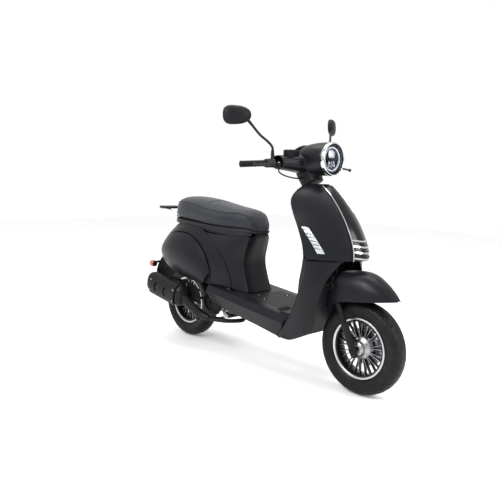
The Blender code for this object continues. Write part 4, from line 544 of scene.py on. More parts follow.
def make_tyre(name, axle, body):
    """Round carcass with moulded tread: slanted grooves that start near the middle of the crown."""
    section = curve_points(milli((140.5, 30.5, 0), (150, 37.5, 0), (170, 44.5, 0), (186, 45.5, 0),
            (199, 40.5, 0), (207.2, 30, 0), (211.6, 16.5, 0), (213, 0, 0)), 26)
    half = [(p.x, p.y) for p in section]
    outline = half + [(r, -y) for r, y in reversed(half[:-1])]
    inner = milli((140.5, -15), (128.5, -15), (128.5, 15), (140.5, 15))
    verts = []
    for k in range(TYRE_STEPS):
        angle = TAU * k / TYRE_STEPS
        for r, y in outline + inner:
            depth = 0.0
            if r > TREAD_RADIUS:
                side = 1 if y >= 0 else -1
                share = abs(y) / TREAD_HALF_WIDTH
                turn = (angle * TREAD_BLOCKS / TAU + side * 0.25 + share * 0.75) % 1.0
                width = 0.1 + 0.05 * share
                if 0.2 < share < 1.02 and turn < width:
                    depth = 0.0026 * min(1.0, 6 * turn / width, 6 * (width - turn) / width)
                second = (angle * TREAD_BLOCKS / TAU + side * 0.25 - share * 0.9 + 0.55) % 1.0
                if 0.45 < share < 0.85 and second < 0.09:
                    depth = max(depth, 0.0022 * min(1.0, 5 * second / 0.09, 5 * (0.09 - second) / 0.09))
                if abs(abs(y) - 0.0065) < 0.0016:
                    depth = max(depth, 0.002)
            elif 0.1545 < r < 0.1585 or 0.178 < r < 0.1805:
                depth = -0.0006
            verts.append(circle_point(axle, r - depth, angle, y))
    mesh = mesh_of(verts, rows_to_faces(TYRE_STEPS, len(outline + inner), True))
    show(name + "_skin", mesh, "tyre_rubber", body, node=name, sharp=30)


def make_rim(name, axle, body, hub_faces, hub_radius):
    """Machined lips, dark barrel, paired thin spokes with bright faces, and a turned hub."""
    lips = []
    for sign in (-1, 1):
        profile = milli((126.2, 25.8), (129, 33), (133, 34.8), (138.5, 35.2), (140.2, 33), (140, 29.6),
                (135, 29), (128.5, 24))
        lips.append(turned([(r, sign * y) for r, y in profile], axle, Y, 120, True, 0.0009))
    show(name + "_lips", together(lips), "aluminium", body, node=name)
    barrel = turned(milli((121.5, -31), (127.5, -31.6), (127.5, 31.6), (121.5, 31), (119, 10), (119, -10)),
            axle, Y, 120, True, 0.002)
    show(name + "_barrel", barrel, "rim_black", body)
    spokes, faces = [], []
    for k in range(2 * SPOKE_PAIRS):
        pair, member = divmod(k, 2)
        inner = TAU * (pair + 0.33 + 0.24 * member) / SPOKE_PAIRS
        outer = TAU * (pair + 0.2 + 0.5 * member) / SPOKE_PAIRS
        for target, grow in ((spokes, 0.0), (faces, -0.0014)):
            for side in ((0,) if target is spokes else (-1, 1)):
                rings = []
                for t in np.linspace(0, 1, 9):
                    radius = hub_radius - 0.006 + (0.12 - hub_radius + 0.006) * t
                    angle = inner + (outer - inner) * t ** 1.6
                    thick = (0.0062 - 0.0018 * math.sin(math.pi * min(t * 1.1, 1)) + 0.001 * t) / 2 + grow
                    deep = 0.0125 - 0.004 * t
                    along = Vector((math.cos(angle), 0, math.sin(angle)))
                    wide = Vector((-math.sin(angle), 0, math.cos(angle)))
                    middle = axle + along * radius + Vector((0, side * (deep + 0.0002), 0))
                    tall = deep if target is spokes else 0.0004
                    rings.append(outline_ring(middle, wide, Y, thick, tall, 3.4, 16))
                target.append(loft(rings))
    show(name + "_spokes", together(spokes), "rim_black", body)
    show(name + "_spoke_faces", together(faces), "rim_face", body)
    show(name + "_hub", turned(hub_faces, axle, Y, 96, True, 0.0018), "hub_cast", body)


def make_wheels():
    make_tyre("front_tyre", FRONT_AXLE, "front_wheel")
    make_tyre("rear_tyre", REAR_AXLE, "rear_wheel")
    front = milli((9, -47), (20, -47), (22, -42), (30, -39), (36, -26), (50, -16), (54, -12), (54, 12),
            (40, 18), (33, 32), (33, 39), (9, 47))
    make_rim("front_rim", FRONT_AXLE, "front_wheel", front, 0.052)
    rear = milli((11.5, -42), (24, -42), (28, -36), (42, -33), (52, -18), (60, -12), (60, 30), (56, 37),
            (11.5, 37))
    make_rim("rear_rim", REAR_AXLE, "rear_wheel", rear, 0.058)
    bolts = []
    for axle, ring, y in ((FRONT_AXLE, 0.044, -0.0195), (REAR_AXLE, 0.047, -0.0245)):
        for k in range(5):
            angle = TAU * (k + 0.5) / 5
            bolts.append((axle, turned(milli((0.1, -4), (3.8, -4), (4.2, -3), (4.2, 6)),
                    circle_point(axle, ring, angle, y), Y, 6, edge=0)))
    show("front_hub_bolts", together([m for a, m in bolts if a is FRONT_AXLE]), "steel", "front_wheel")
    show("rear_hub_bolts", together([m for a, m in bolts if a is REAR_AXLE]), "steel", "rear_wheel")
    disc = turned(milli((44, 40.2), (89.8, 40.2), (89.8, 43.4), (44, 43.4)), FRONT_AXLE, Y, 96, True,
            0.0004)
    drills = []
    for k in range(24):
        angle = TAU * k / 24
        radius = (0.062, 0.071, 0.08)[k % 3]
        drills.append(turned([(0.003, 0), (0.003, 0.03)], circle_point(FRONT_AXLE, radius, angle, 0.03), Y,
                12, edge=0))
    carrier = turned(milli((32.7, 40.4), (50, 40.4), (50, 42), (32.7, 42)), FRONT_AXLE, Y, 48, True, 0.0003)
    show("brake_disc_rotor", cut(disc, together(drills)), "disc_steel", "front_wheel",
            "brake_disc")
    show("brake_disc_carrier", carrier, "rim_black", "front_wheel")


# ------------------------------------------------------------------ lamp
def make_headlight():
    """Chrome rim, dark bezel, pale halo, cross bar and two projector lenses behind a clear dome."""
    ring = turned(milli((70.2, -1), (70.4, 6.6), (71.8, 9.2), (74.2, 8.8), (77.2, 4.5), (78.6, -3),
            (77.6, -12.5), (72.4, -12.5), (72.4, -1)), LAMP, X, 128, True, 0.0016)
    show("headlight_rim", ring, "chrome", "steering", node="headlight_ring", sharp=50)
    bowl = turned(milli((69.9, -1), (69.9, 6.4), (65.5, 5.8), (59, 0.2), (56, -12), (42, -23), (15, -26),
            (15, -30), (70, -30), (71.2, -13), (71.2, -1)), LAMP, X, 96, True, 0.0006)
    show("headlight_bezel", bowl, "lamp_black", "steering", "headlight")
    plate = turned(milli((0.1, -27.5), (50, -27.5), (50, -26.2), (0.1, -26.2)), LAMP, X, 48)
    show("headlight_reflector", plate, "reflector", "steering")
    halo = turned(milli((49.5, -10.5), (49.5, -5), (51, -3), (55.2, -3), (56.8, -5), (56.8, -10.5)), LAMP,
            X, 128, True, 0.0012)
    show("headlight_halo", halo, "halo", "steering")
    bar = block(LAMP + Vector((-0.0115, 0, 0.0)), (0.012, 0.096, 0.012), bevel=0.002)
    show("headlight_bar", bar, "lamp_black", "steering")
    radius = 0.019
    for name, z in (("upper", 0.0225), ("lower", -0.0225)):
        base = LAMP + Vector((-0.024, 0, z))
        cup = turned([(radius, 0.0), (radius + 0.003, 0.006), (radius + 0.0052, 0.015),
                (radius + 0.004, 0.0162), (radius + 0.0016, 0.008), (radius - 0.001, 0.002)], base, X, 64,
                True, 0.0006)
        show("headlight_cup_" + name, cup, "chrome", "steering")
        dome = turned([(radius - 0.001, 0.0), (radius - 0.001, 0.003), (radius * 0.8, 0.009),
                (radius * 0.5, 0.0122), (radius * 0.2, 0.0136), (0.0002, 0.0138)], base, X, 64, edge=0.003)
        show("headlight_projector_" + name, dome, "projector_" + name, "steering")
    glass = turned(milli((65.2, 0), (65.2, 3.8), (60, 6.6), (45, 9.8), (25, 11.5), (0.4, 12), (0.4, 10.8),
            (25, 10.3), (45, 8.6), (59.8, 5.2), (63.6, 3), (63.6, 0)), LAMP, X, 96, True, 0.0008)
    show("headlight_glass", glass, "clear_cover", "steering", sharp=60)


# ------------------------------------------------------------------ headset and controls
def table(points, t):
    xs = [p[0] for p in points]
    return float(np.interp(t, xs, [p[1] for p in points]))


def steer_point(along, forward):
    return STEER_FOOT + STEER_AXIS * along + STEER_FORWARD * forward


def dial_point(along):
    axis = Vector((-0.55, 0, 0.835)).normalized()
    return world(0.206, 0, 1.086) + axis * along, axis


# the headset's arms: half depth, half height, and the place of their middle, by distance from the centre
ARM_DEPTH = milli((0, 58), (50, 56), (90, 52), (150, 44.5), (210, 37))
ARM_HEIGHT = milli((0, 46), (50, 43.5), (90, 40), (150, 35), (210, 30))
ARM_X = [(0, 0.248), (0.1, 0.24), (0.21, 0.224)]
ARM_Z = [(0, 1.026), (0.1, 1.029), (0.21, 1.032)]


def arm_ring(y, shrink=0.0):
    a = abs(y)
    return outline_ring(world(table(ARM_X, a), y, table(ARM_Z, a)), X, Z, table(ARM_DEPTH, a) - shrink,
            table(ARM_HEIGHT, a) - shrink, 2.4, 40)


def make_headset():
    """Cowl with a round lamp pod, two tapering arms and a neck, blended into one skin."""
    pod = []
    for x, radius, z in milli((389.5, 74.5, 1053), (388, 76.8, 1053), (364, 77.5, 1053), (345, 77.2, 1053),
            (325, 76.5, 1053), (298, 75.5, 1051), (272, 73.5, 1049), (248, 69.5, 1046.5), (226, 64, 1044),
            (208, 57.5, 1042.5), (194, 50, 1041), (180, 42, 1040.5), (170, 34, 1040)):
        pod.append(outline_ring(world(x, 0, z), Y, Z, radius, radius, 2.0, 64))
    arms = [arm_ring(y) for y in np.linspace(-0.187, 0.187, 25)]
    neck = []
    for along, depth, width, forward in milli((796, 50, 43, 26.5), (802, 50.8, 43.7, 26.2),
            (825, 53.5, 45.5, 25.2), (850, 57, 48, 24), (880, 57.5, 48.5, 22), (905, 56, 48, 20)):
        neck.append(outline_ring(steer_point(along, forward), STEER_FORWARD, Y, depth, width, 2.8, 48))
    skin = united(loft(pod), loft(arms), loft(neck))
    skin = processed(skin, ("REMESH", {"mode": "VOXEL", "voxel_size": 0.0026}),
            ("SMOOTH", {"factor": 0.5, "iterations": 9}))
    tools = [turned([(0.0728, 0), (0.0728, 0.1)], LAMP - Vector((0.058, 0, 0)), X, 96, edge=0)]
    place, axis = dial_point(0.0)
    tools.append(turned([(0.0452, 0.0006), (0.0452, 0.06)], place, axis, 64, edge=0))
    tools.append(turned([(0.0368, -0.02), (0.0368, 0.01)], place, axis, 64, edge=0))
    tools.append(block(world(0.25, -0.118, 1.091), (0.0475, 0.069, 0.076), bevel=0.003))
    for sign in (-1, 1):
        tools.append(loft([arm_ring(sign * y, 0.0036 if y > 0.155 else 0.012) for y in (0.15, 0.16, 0.175,
                0.2)]))
    skin = cut(skin, *tools)
    show("headset_cowl_skin", skin, "body_paint", "steering", node="headset_cowl", sharp=42)
    seams = []
    for sign in (-1, 1):
        path = []
        for y in np.linspace(0.075, 0.184, 12):
            path.append(world(table(ARM_X, y) + table(ARM_DEPTH, y) * 0.985, sign * y,
                    table(ARM_Z, y) + 0.008))
        seams.append(pipe(path, 0.0009, 6))
    show("headset_seams", together(seams), "seam_and_shade_black", "steering")


def make_speedometer():
    place, axis = dial_point(-0.018)
    case = turned(milli((30, 0), (35.5, 3), (35.5, 20), (44, 20.5), (44.5, 26.5), (42.5, 30), (39, 30.5),
            (37.5, 27), (0.1, 26.8)), place, axis, 80)
    show("speedometer_case", case, "black_plastic", "steering", "speedometer")
    first, second = across(axis)
    face = turned(milli((0.1, 27), (37, 27), (37, 27.6), (0.1, 27.6)), place, axis, 64, edge=0)
    show("speedometer_face", face, "dial_face", "steering")

    def dial_direction(angle):
        radial = first * math.cos(angle) + second * math.sin(angle)
        return radial, Matrix((radial, axis.cross(radial), axis)).transposed()

    marks = []
    for k in range(31):
        radial, turn = dial_direction(math.radians(-135 + 270 * k / 30))
        long = 0.0055 if k % 5 == 0 else 0.003
        marks.append(block(place + axis * 0.0278 + radial * (0.0345 - long / 2), (long, 0.0006, 0.0003),
                turn, 0))
    radial, turn = dial_direction(math.radians(-135))
    show("speedometer_marks", together(marks), "mark_white", "steering")
    needle = united(block(place + axis * 0.0284 + radial * 0.012, (0.03, 0.0012, 0.0005), turn, 0),
            turned([(0.003, 0), (0.003, 0.0018)], place + axis * 0.0276, axis, 24, edge=0.0004))
    show("speedometer_needle", needle, "red_plastic", "steering")
    glass = turned(milli((38.8, 27.8), (38.8, 28.6), (30, 30.2), (15, 31), (0.2, 31.2), (0.2, 30.6),
            (30, 29.5), (38, 28)), place, axis, 64, True, 0.0003)
    show("speedometer_glass", glass, "clear_cover", "steering")


BAR_INNER = Vector((0.212, 0.195, 1.027))
BAR_OUTER = Vector((0.16, 0.35, 1.0155))


def bar_point(sign, s):
    """A point of the handlebar's straight end, from its inner end at 0 to its tip at 1."""
    p = BAR_INNER.lerp(BAR_OUTER, s)
    return world(p.x, sign * p.y, p.z)


def grip_axis(sign):
    return (bar_point(sign, 1) - bar_point(sign, 0)).normalized()


def make_grips():
    """Ribbed rubber grips with an end flange."""
    for sign in (-1, 1):
        start, axis = bar_point(sign, 0), grip_axis(sign)
        length = (bar_point(sign, 1) - start).length
        profile = milli((13, 44.2), (16.7, 44.2), (17.2, 46.2), (16.7, 48.2), (14.7, 49.2))
        at = 0.0505
        while at < length - 0.006:
            profile += [(0.0136, at), (0.0145, at + 0.0009), (0.0145, at + 0.0026), (0.0136, at + 0.0035)]
            at += 0.0046
        profile += [(0.0145, length - 0.001), (0.0152, length + 0.0006), (0.0152, length + 0.0026),
                (0.014, length + 0.0046), (0.0095, length + 0.0056), (0.0001, length + 0.0058)]
        mesh = turned(profile, start, axis, 48, edge=0.0003)
        name, body = ("throttle_grip", "throttle") if sign < 0 else ("left_grip", "steering")
        show(name + "_ribbed", mesh, "rubber", body, node=name, sharp=50)


def make_reservoir():
    """Rounded brake fluid reservoir with a lid held by two screws."""
    centre = world(0.25, -0.118, 1.073)
    levels = milli((-16.5, 22.5, 34), (-15, 24, 35.5), (8, 24.5, 36), (8.6, 23.6, 35.2), (9.8, 23.6, 35.2),
            (10.4, 24.6, 36.2), (15, 23.8, 35), (17.6, 20.5, 31.5), (18.4, 14, 24))
    rings = [outline_ring(centre + Vector((0, 0, z)), X, Y, a, b, 4.0, 56) for z, a, b in levels]
    show("brake_fluid_reservoir", loft(rings), "black_plastic", "steering", sharp=50)
    screws = [turned(milli((0.1, 1.4), (1.2, 1.4), (1.8, 2.4), (3.2, 2.2), (3.8, 0), (3.8, -3)),
            centre + Vector((0, y, 0.0182)), Z, 20, edge=0.0003) for y in (-0.018, 0.018)]
    show("reservoir_screws", together(screws), "steel", "steering")


def make_levers():
    """Curved blades of oval section with a ball end."""
    for sign, side in SIDES:
        pivot = bar_point(sign, 0.06) + Vector((0.046, 0, -0.004))
        tip = bar_point(sign, 0.96) + Vector((0.082, 0, -0.004))
        bend = pivot.lerp(tip, 0.3) + Vector((0.01, 0, 0))
        path = curve_points([pivot, bend, pivot.lerp(tip, 0.65) + Vector((0.006, 0, 0)), tip], 40)
        rings = []
        for i, p in enumerate(path):
            tangent = (path[min(i + 1, 39)] - path[max(i - 1, 0)]).normalized()
            wide = tangent.cross(Vector(Z)).normalized()
            tall = wide.cross(tangent).normalized()
            t = i / 39
            rings.append(outline_ring(p, wide, tall, 0.0052 - 0.0008 * t, 0.0062 - 0.0016 * t, 2.6, 20))
        ball = turned(milli((0.1, -8.8), (4.8, -7.4), (8, -3.6), (8.8, 0), (8, 3.6), (4.8, 7.4),
                (0.1, 8.8)), tip, grip_axis(sign), 40, edge=0.0015)
        eye = turned(milli((0.1, -4.6), (10.5, -4.6), (10.5, 6), (0.1, 6)), pivot, Z, 40)
        bolt = turned(milli((0.1, 5.5), (4.6, 5.5), (5, 7), (4.4, 8.8), (0.1, 9.2)), pivot, Z, 24)
        show("brake_lever_%s_blade" % side, united(loft(rings), ball, eye), "lever_black", "lever_" + side,
                "brake_lever_" + side)
        show("brake_lever_%s_bolt" % side, bolt, "steel", "lever_" + side)


def make_mirrors():
    """Soft-cornered shell on a bent stem with a lock nut, and the glass on its rider side."""
    for sign, side in SIDES:
        foot = bar_point(sign, 0.03) + Vector((-0.002, 0, 0.03))
        head = world(0.112, sign * 0.34, 1.237)
        facing = Vector((0.86, sign * 0.5, 0.06)).normalized()
        wide = (Vector((0, sign, 0)) - facing * facing.y * sign).normalized()
        tall = facing.cross(wide) * sign

        def outline(depth, scale):
            ring = []
            for k in range(72):
                angle = TAU * k / 72
                c, s = math.cos(angle), math.sin(angle)
                u = math.copysign(abs(c) ** 0.72, c) * 0.066
                v = math.copysign(abs(s) ** 0.78, s) * (0.042 + 0.009 * c)
                ring.append(head + facing * depth + (wide * u + tall * v) * scale)
            return ring

        levels = milli((-6, 880), (-10.8, 900), (-11.2, 930), (-10.5, 965), (-8.5, 992), (-5, 1000),
                (1, 992), (6, 955), (10.5, 880), (14.5, 760), (17.5, 600), (19.2, 420), (20, 220),
                (20.3, 60))
        shell = loft([outline(d, s) for d, s in levels])
        corner = head - wide * 0.066 - tall * 0.044 + facing * 0.004
        socket = head - wide * 0.045 - tall * 0.02 + facing * 0.005
        route = [foot, foot + Vector((-0.003, 0, 0.04)), foot + Vector((-0.016, sign * 0.018, 0.066)),
                foot.lerp(corner, 0.62) + Vector((0.002, sign * 0.002, 0.01)), corner, socket]
        stem = pipe(route, lambda t: 0.0058 + 0.002 * max(0.0, (t - 0.8) / 0.2), 20, 48)
        show("mirror_%s_shell" % side, shell, "black_plastic", "mirror_%s_arm" % side,
                node="mirror_" + side, sharp=40)
        show("mirror_%s_stem" % side, stem, "black_steel", "mirror_%s_arm" % side)
        nut = turned(milli((5.2, 1), (8.8, 1), (9.2, 2.5), (9.2, 10), (8.2, 11.8), (5.2, 12)), foot, Z, 6,
                edge=0.0004)
        boot = turned(milli((5.2, 12), (8, 12.4), (7.6, 22), (5.8, 30), (5, 30.5)), foot, (-0.05, 0, 1), 32)
        show("mirror_%s_nut" % side, nut, "black_steel", "mirror_%s_arm" % side)
        show("mirror_%s_boot" % side, boot, "rubber", "mirror_%s_arm" % side)
        pane = loft([outline(-0.0066, 0.872), outline(-0.0084, 0.872)])
        show("mirror_%s_glass" % side, pane, "mirror_glass", "mirror_%s_arm" % side)


# ------------------------------------------------------------------ seat
CLOTH_FRAMES = 16
SWELL_CAP = 0.0032      # how far a point of the cushion may move in the simulation


def make_seat():
    """Foam-filled cushion: the plain solid is puffed up as cloth, then gets its step and its piping."""
    low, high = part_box("seat_cushion")
    centre = (low + high) / 2
    source = joined_faces("seat_cushion", 35, 70, False)
    mesh = processed(source, ("SUBSURF", {"levels": 2, "render_levels": 2}),
            ("REMESH", {"mode": "VOXEL", "voxel_size": 0.005}),
            ("SMOOTH", {"factor": 0.5, "iterations": 2}))
    for v in mesh.vertices:
        v.co = centre + Vector([(c - m) * s for c, m, s in zip(v.co, centre, (0.996, 0.985, 0.985))])
    start = np.array([v.co for v in mesh.vertices])
    host = bpy.data.objects.new("seat_host", mesh)
    scene.collection.objects.link(host)
    cloth = host.modifiers.new("cloth", "CLOTH")
    for key, value in (("use_pressure", True), ("uniform_pressure_force", 3.5),
            ("tension_stiffness", 40), ("compression_stiffness", 40), ("shear_stiffness", 20),
            ("bending_stiffness", 8)):
        setattr(cloth.settings, key, value)
    cloth.settings.effector_weights.gravity = 0
    cloth.point_cache.frame_start, cloth.point_cache.frame_end = 1, CLOTH_FRAMES
    for step in range(1, CLOTH_FRAMES + 1):
        scene.frame_set(step)
    puffed = evaluated(host)
    bpy.data.objects.remove(host)
    scene.frame_set(1)
    end = np.array([v.co for v in puffed.vertices])
    move = end - start
    reach = np.linalg.norm(move, axis=1, keepdims=True)
    move *= np.minimum(1.0, SWELL_CAP / np.maximum(reach, 1e-9))
    for v, p in zip(mesh.vertices, start + move):
        v.co = p
    floor_z = low.z
    for v in mesh.vertices:
        x = v.co.x - DATUM_X
        up = (v.co.z - floor_z) / (high.z - floor_z)
        if up > 0.55:
            step = math.exp(-((x + 0.372) / 0.012) ** 2)
            v.co.z -= 0.0022 * step * min(1.0, (up - 0.55) / 0.2)
        v.co.z = max(v.co.z, table([(-0.694, 0.7044), (-0.56, 0.6994), (-0.26, 0.6809), (-0.034, 0.6769)],
                x))
        v.co.y = max(min(v.co.y, high.y + 0.002), low.y - 0.002)
    mesh = processed(mesh, ("SUBSURF", {"levels": 1, "render_levels": 1}))
    piece = show("seat_cushion_cover", mesh, "seat_vinyl", "seat", node="seat_cushion", sharp=80)
    return mesh


def seat_line(tree, points, lift, radius, count):
    """A raised welt laid on the cushion's skin through the given points."""
    path = []
    for p in curve_points(points, count):
        hit = tree.find_nearest(p)
        path.append(hit[0] + hit[1] * lift)
    return pipe(path, radius, 8)


def make_seat_welts(mesh):
    """Piping round the top edge, the step's seam and the foot's binding."""
    work = bmesh.new()
    work.from_mesh(mesh)
    tree = BVHTree.FromBMesh(work)
    shoulder = milli((-40, 52, 703), (-58, 69, 731), (-90, 83, 766), (-131, 98, 777), (-235, 121, 781),
            (-335, 131, 789), (-405, 135, 800), (-500, 136, 814), (-590, 132, 820), (-640, 116, 815),
            (-676, 78, 797), (-690, 30, 772))
    piping = seat_line(tree, places(shoulder, -1) + places(reversed(shoulder)), 0.0006, 0.0021, 240)
    show("seat_piping", piping, "piping", "seat")
    seams = []
    cross = []
    for k in range(13):
        y = -0.128 + 0.256 * k / 12
        bow = 0.012 * (1 - (y / 0.128) ** 2)
        cross.append(world(-0.372 - bow, y, 0.835))
    seams.append(seat_line(tree, cross, 0.0001, 0.0011, 70))
    for sign in (-1, 1):
        front = places(milli((-52, 58, 724), (-55, 63, 708), (-58, 66, 695), (-60, 66, 681)), sign)
        seams.append(seat_line(tree, front, 0.0003, 0.0015, 24))
    show("seat_seams", together(seams), "piping", "seat")
    work.free()
    rim = []
    for sign in (-1, 1):
        edge = milli((-40, 52, 677.5), (-70, 70, 678), (-100, 83, 678.5), (-150, 100, 679.5),
                (-200, 111, 680), (-300, 124, 683), (-400, 131, 689), (-550, 131, 698), (-610, 124, 701),
                (-650, 105, 702.5), (-680, 71, 703.5), (-692, 34, 704))
        rim += [world(x, sign * y, z - 0.001) for x, y, z in (edge if sign < 0 else reversed(edge))]
    show("seat_foot_rim", pipe(rim, 0.0028, 8, 150, True), "piping", "seat")


def make_seat_skirt():
    """Vinyl skirt under the cushion's foot, tucked inside the rear body's top edge."""
    edge = milli((-62, 56, 677.5), (-90, 73, 678), (-150, 96, 679.5), (-200, 108, 680), (-300, 121, 683),
            (-400, 129, 689), (-550, 130, 698), (-610, 123, 701), (-650, 104, 702.5), (-680, 70, 703.5),
            (-690, 34, 704))
    line = [(x, -y, z) for x, y, z in edge] + [(x, y, z) for x, y, z in reversed(edge)]
    path = curve_points(line, 150)
    verts = []
    for k, p in enumerate(path):
        tangent = path[min(k + 1, 149)] - path[max(k - 1, 0)]
        inward = Vector((tangent.y, -tangent.x, 0)).normalized() * -1
        low = table(milli((-690, 16), (-420, 18), (-340, 30), (-100, 36), (-62, 22)), p.x)
        for drop, inset in ((-0.009, -0.0004), (0.0, 0.0), (0.008, 0.0006), (low, 0.0016)):
            verts.append(world(p.x, p.y, p.z - drop) + inward * inset)
    skin = processed(open_sheet(verts, 150, 4), ("SOLIDIFY", {"thickness": 0.0024, "offset": 0.0}),
            ("SUBSURF", {"levels": 1, "render_levels": 1}))
    show("seat_skirt", skin, "piping", "seat", sharp=60)


# ------------------------------------------------------------------ linings, near-black sheets as painted shade
BODY_HALF_WIDTH = milli((-872, 36), (-840, 72), (-780, 114), (-700, 152), (-600, 178), (-450, 187),
        (-320, 179), (-250, 163), (-200, 146))
BODY_TOP = milli((-860, 540), (-800, 584), (-740, 626), (-690, 662), (-640, 694), (-580, 722), (-520, 738),
        (-30, 735))
BODY_MIDDLE = milli((-800, 505), (-600, 510), (-300, 460), (-30, 430))
NOSE_FACE = milli((345, -26), (370, -40), (400, -52), (440, -66), (500, -84), (534, -86), (587, -67),
        (650, -47), (665, -44))
NOSE_HALF_WIDTH = milli((345, 88), (370, 80), (440, 76), (587, 70), (665, 62))
NOSE_BACK = -0.2


def body_side(x, z):
    """Half width of the rear body at a point of its side view."""
    if x > NOSE_BACK:
        face = table(NOSE_FACE, z)
        share = min(max((face - x) / (face - NOSE_BACK), 0.0), 1.0)
        corner = table(NOSE_HALF_WIDTH, z)
        return corner + (body_side(NOSE_BACK, z) - corner) * share ** 0.75
    width, middle = table(BODY_HALF_WIDTH, x), table(BODY_MIDDLE, x)
    if z >= middle:
        share = min((z - middle) / (table(BODY_TOP, x) - middle), 1.0)
        return width * (1 - share ** 2.6) ** (1 / 2.6)
    share = min((middle - z) / 0.3, 1.0)
    return width * (1 - share ** 2.2) ** (1 / 2.2)


def make_shade_linings():
    """Near-black inner skins that close the view through the panel seams: painted shade where the inside of
    the body lies in shadow.
    """
    columns, rows = 40, 24
    for sign, side in SIDES:
        verts = []
        for i in range(columns):
            x = -0.8 + (-0.112 + 0.8) * i / (columns - 1)
            low = table(milli((-800, 502), (-720, 476), (-648, 450), (-478, 406), (-320, 388), (-270, 372),
                    (-112, 366)), x)
            high = table(milli((-800, 560), (-740, 605), (-690, 632), (-640, 655), (-345, 655),
                    (-112, 640)), x)
            for j in range(rows):
                z = low + (high - low) * j / (rows - 1)
                reach = min(x, table(NOSE_FACE, z) - 0.012)
                verts.append(world(reach, sign * (body_side(reach, z) - 0.0065), z))
        # painted shade: a near-black sheet just inside each body side, where there is only shadow
        skin = processed(open_sheet(verts, columns, rows),
                ("SOLIDIFY", {"thickness": 0.0012, "offset": 0.0}))
        show("body_shade_lining_" + side, skin, "seam_and_shade_black", "chassis", sharp=60)
        # painted shade: a near-black wall at the wheel arch, where there is only shadow
        shade_wall = block(world(0.292, sign * 0.16, 0.272), (0.064, 0.003, 0.12), bevel=0.001)
        show("arch_shade_lining_" + side, shade_wall, "seam_and_shade_black", "chassis")


# ------------------------------------------------------------------ exhaust, lamps, rack, mat
MUFFLER_FRONT = world(-0.42, -0.216, 0.286)
MUFFLER_REAR = world(-0.74, -0.216, 0.334)
MUFFLER_AXIS = (MUFFLER_REAR - MUFFLER_FRONT).normalized()
MUFFLER_UP = Vector((MUFFLER_AXIS.z, 0, -MUFFLER_AXIS.x))


def muffler_taper(s):
    return 1 - 0.35 * max(0.0, (abs(2 * s - 1) - 0.82) / 0.18) ** 2


def muffler_ring(s, grow, count, taper, low=0.0, high=TAU):
    centre = MUFFLER_FRONT.lerp(MUFFLER_REAR, s)
    ring = []
    for k in range(count):
        angle = low + (high - low) * k / (count if high - low > 6 else count - 1)
        wide = (0.046 + grow) * taper * math.copysign(abs(math.cos(angle)) ** 0.8, math.cos(angle))
        tall = (0.06 + grow) * taper * math.copysign(abs(math.sin(angle)) ** 0.8, math.sin(angle))
        ring.append(centre + Vector((0, -1, 0)) * wide + MUFFLER_UP * tall)
    return ring


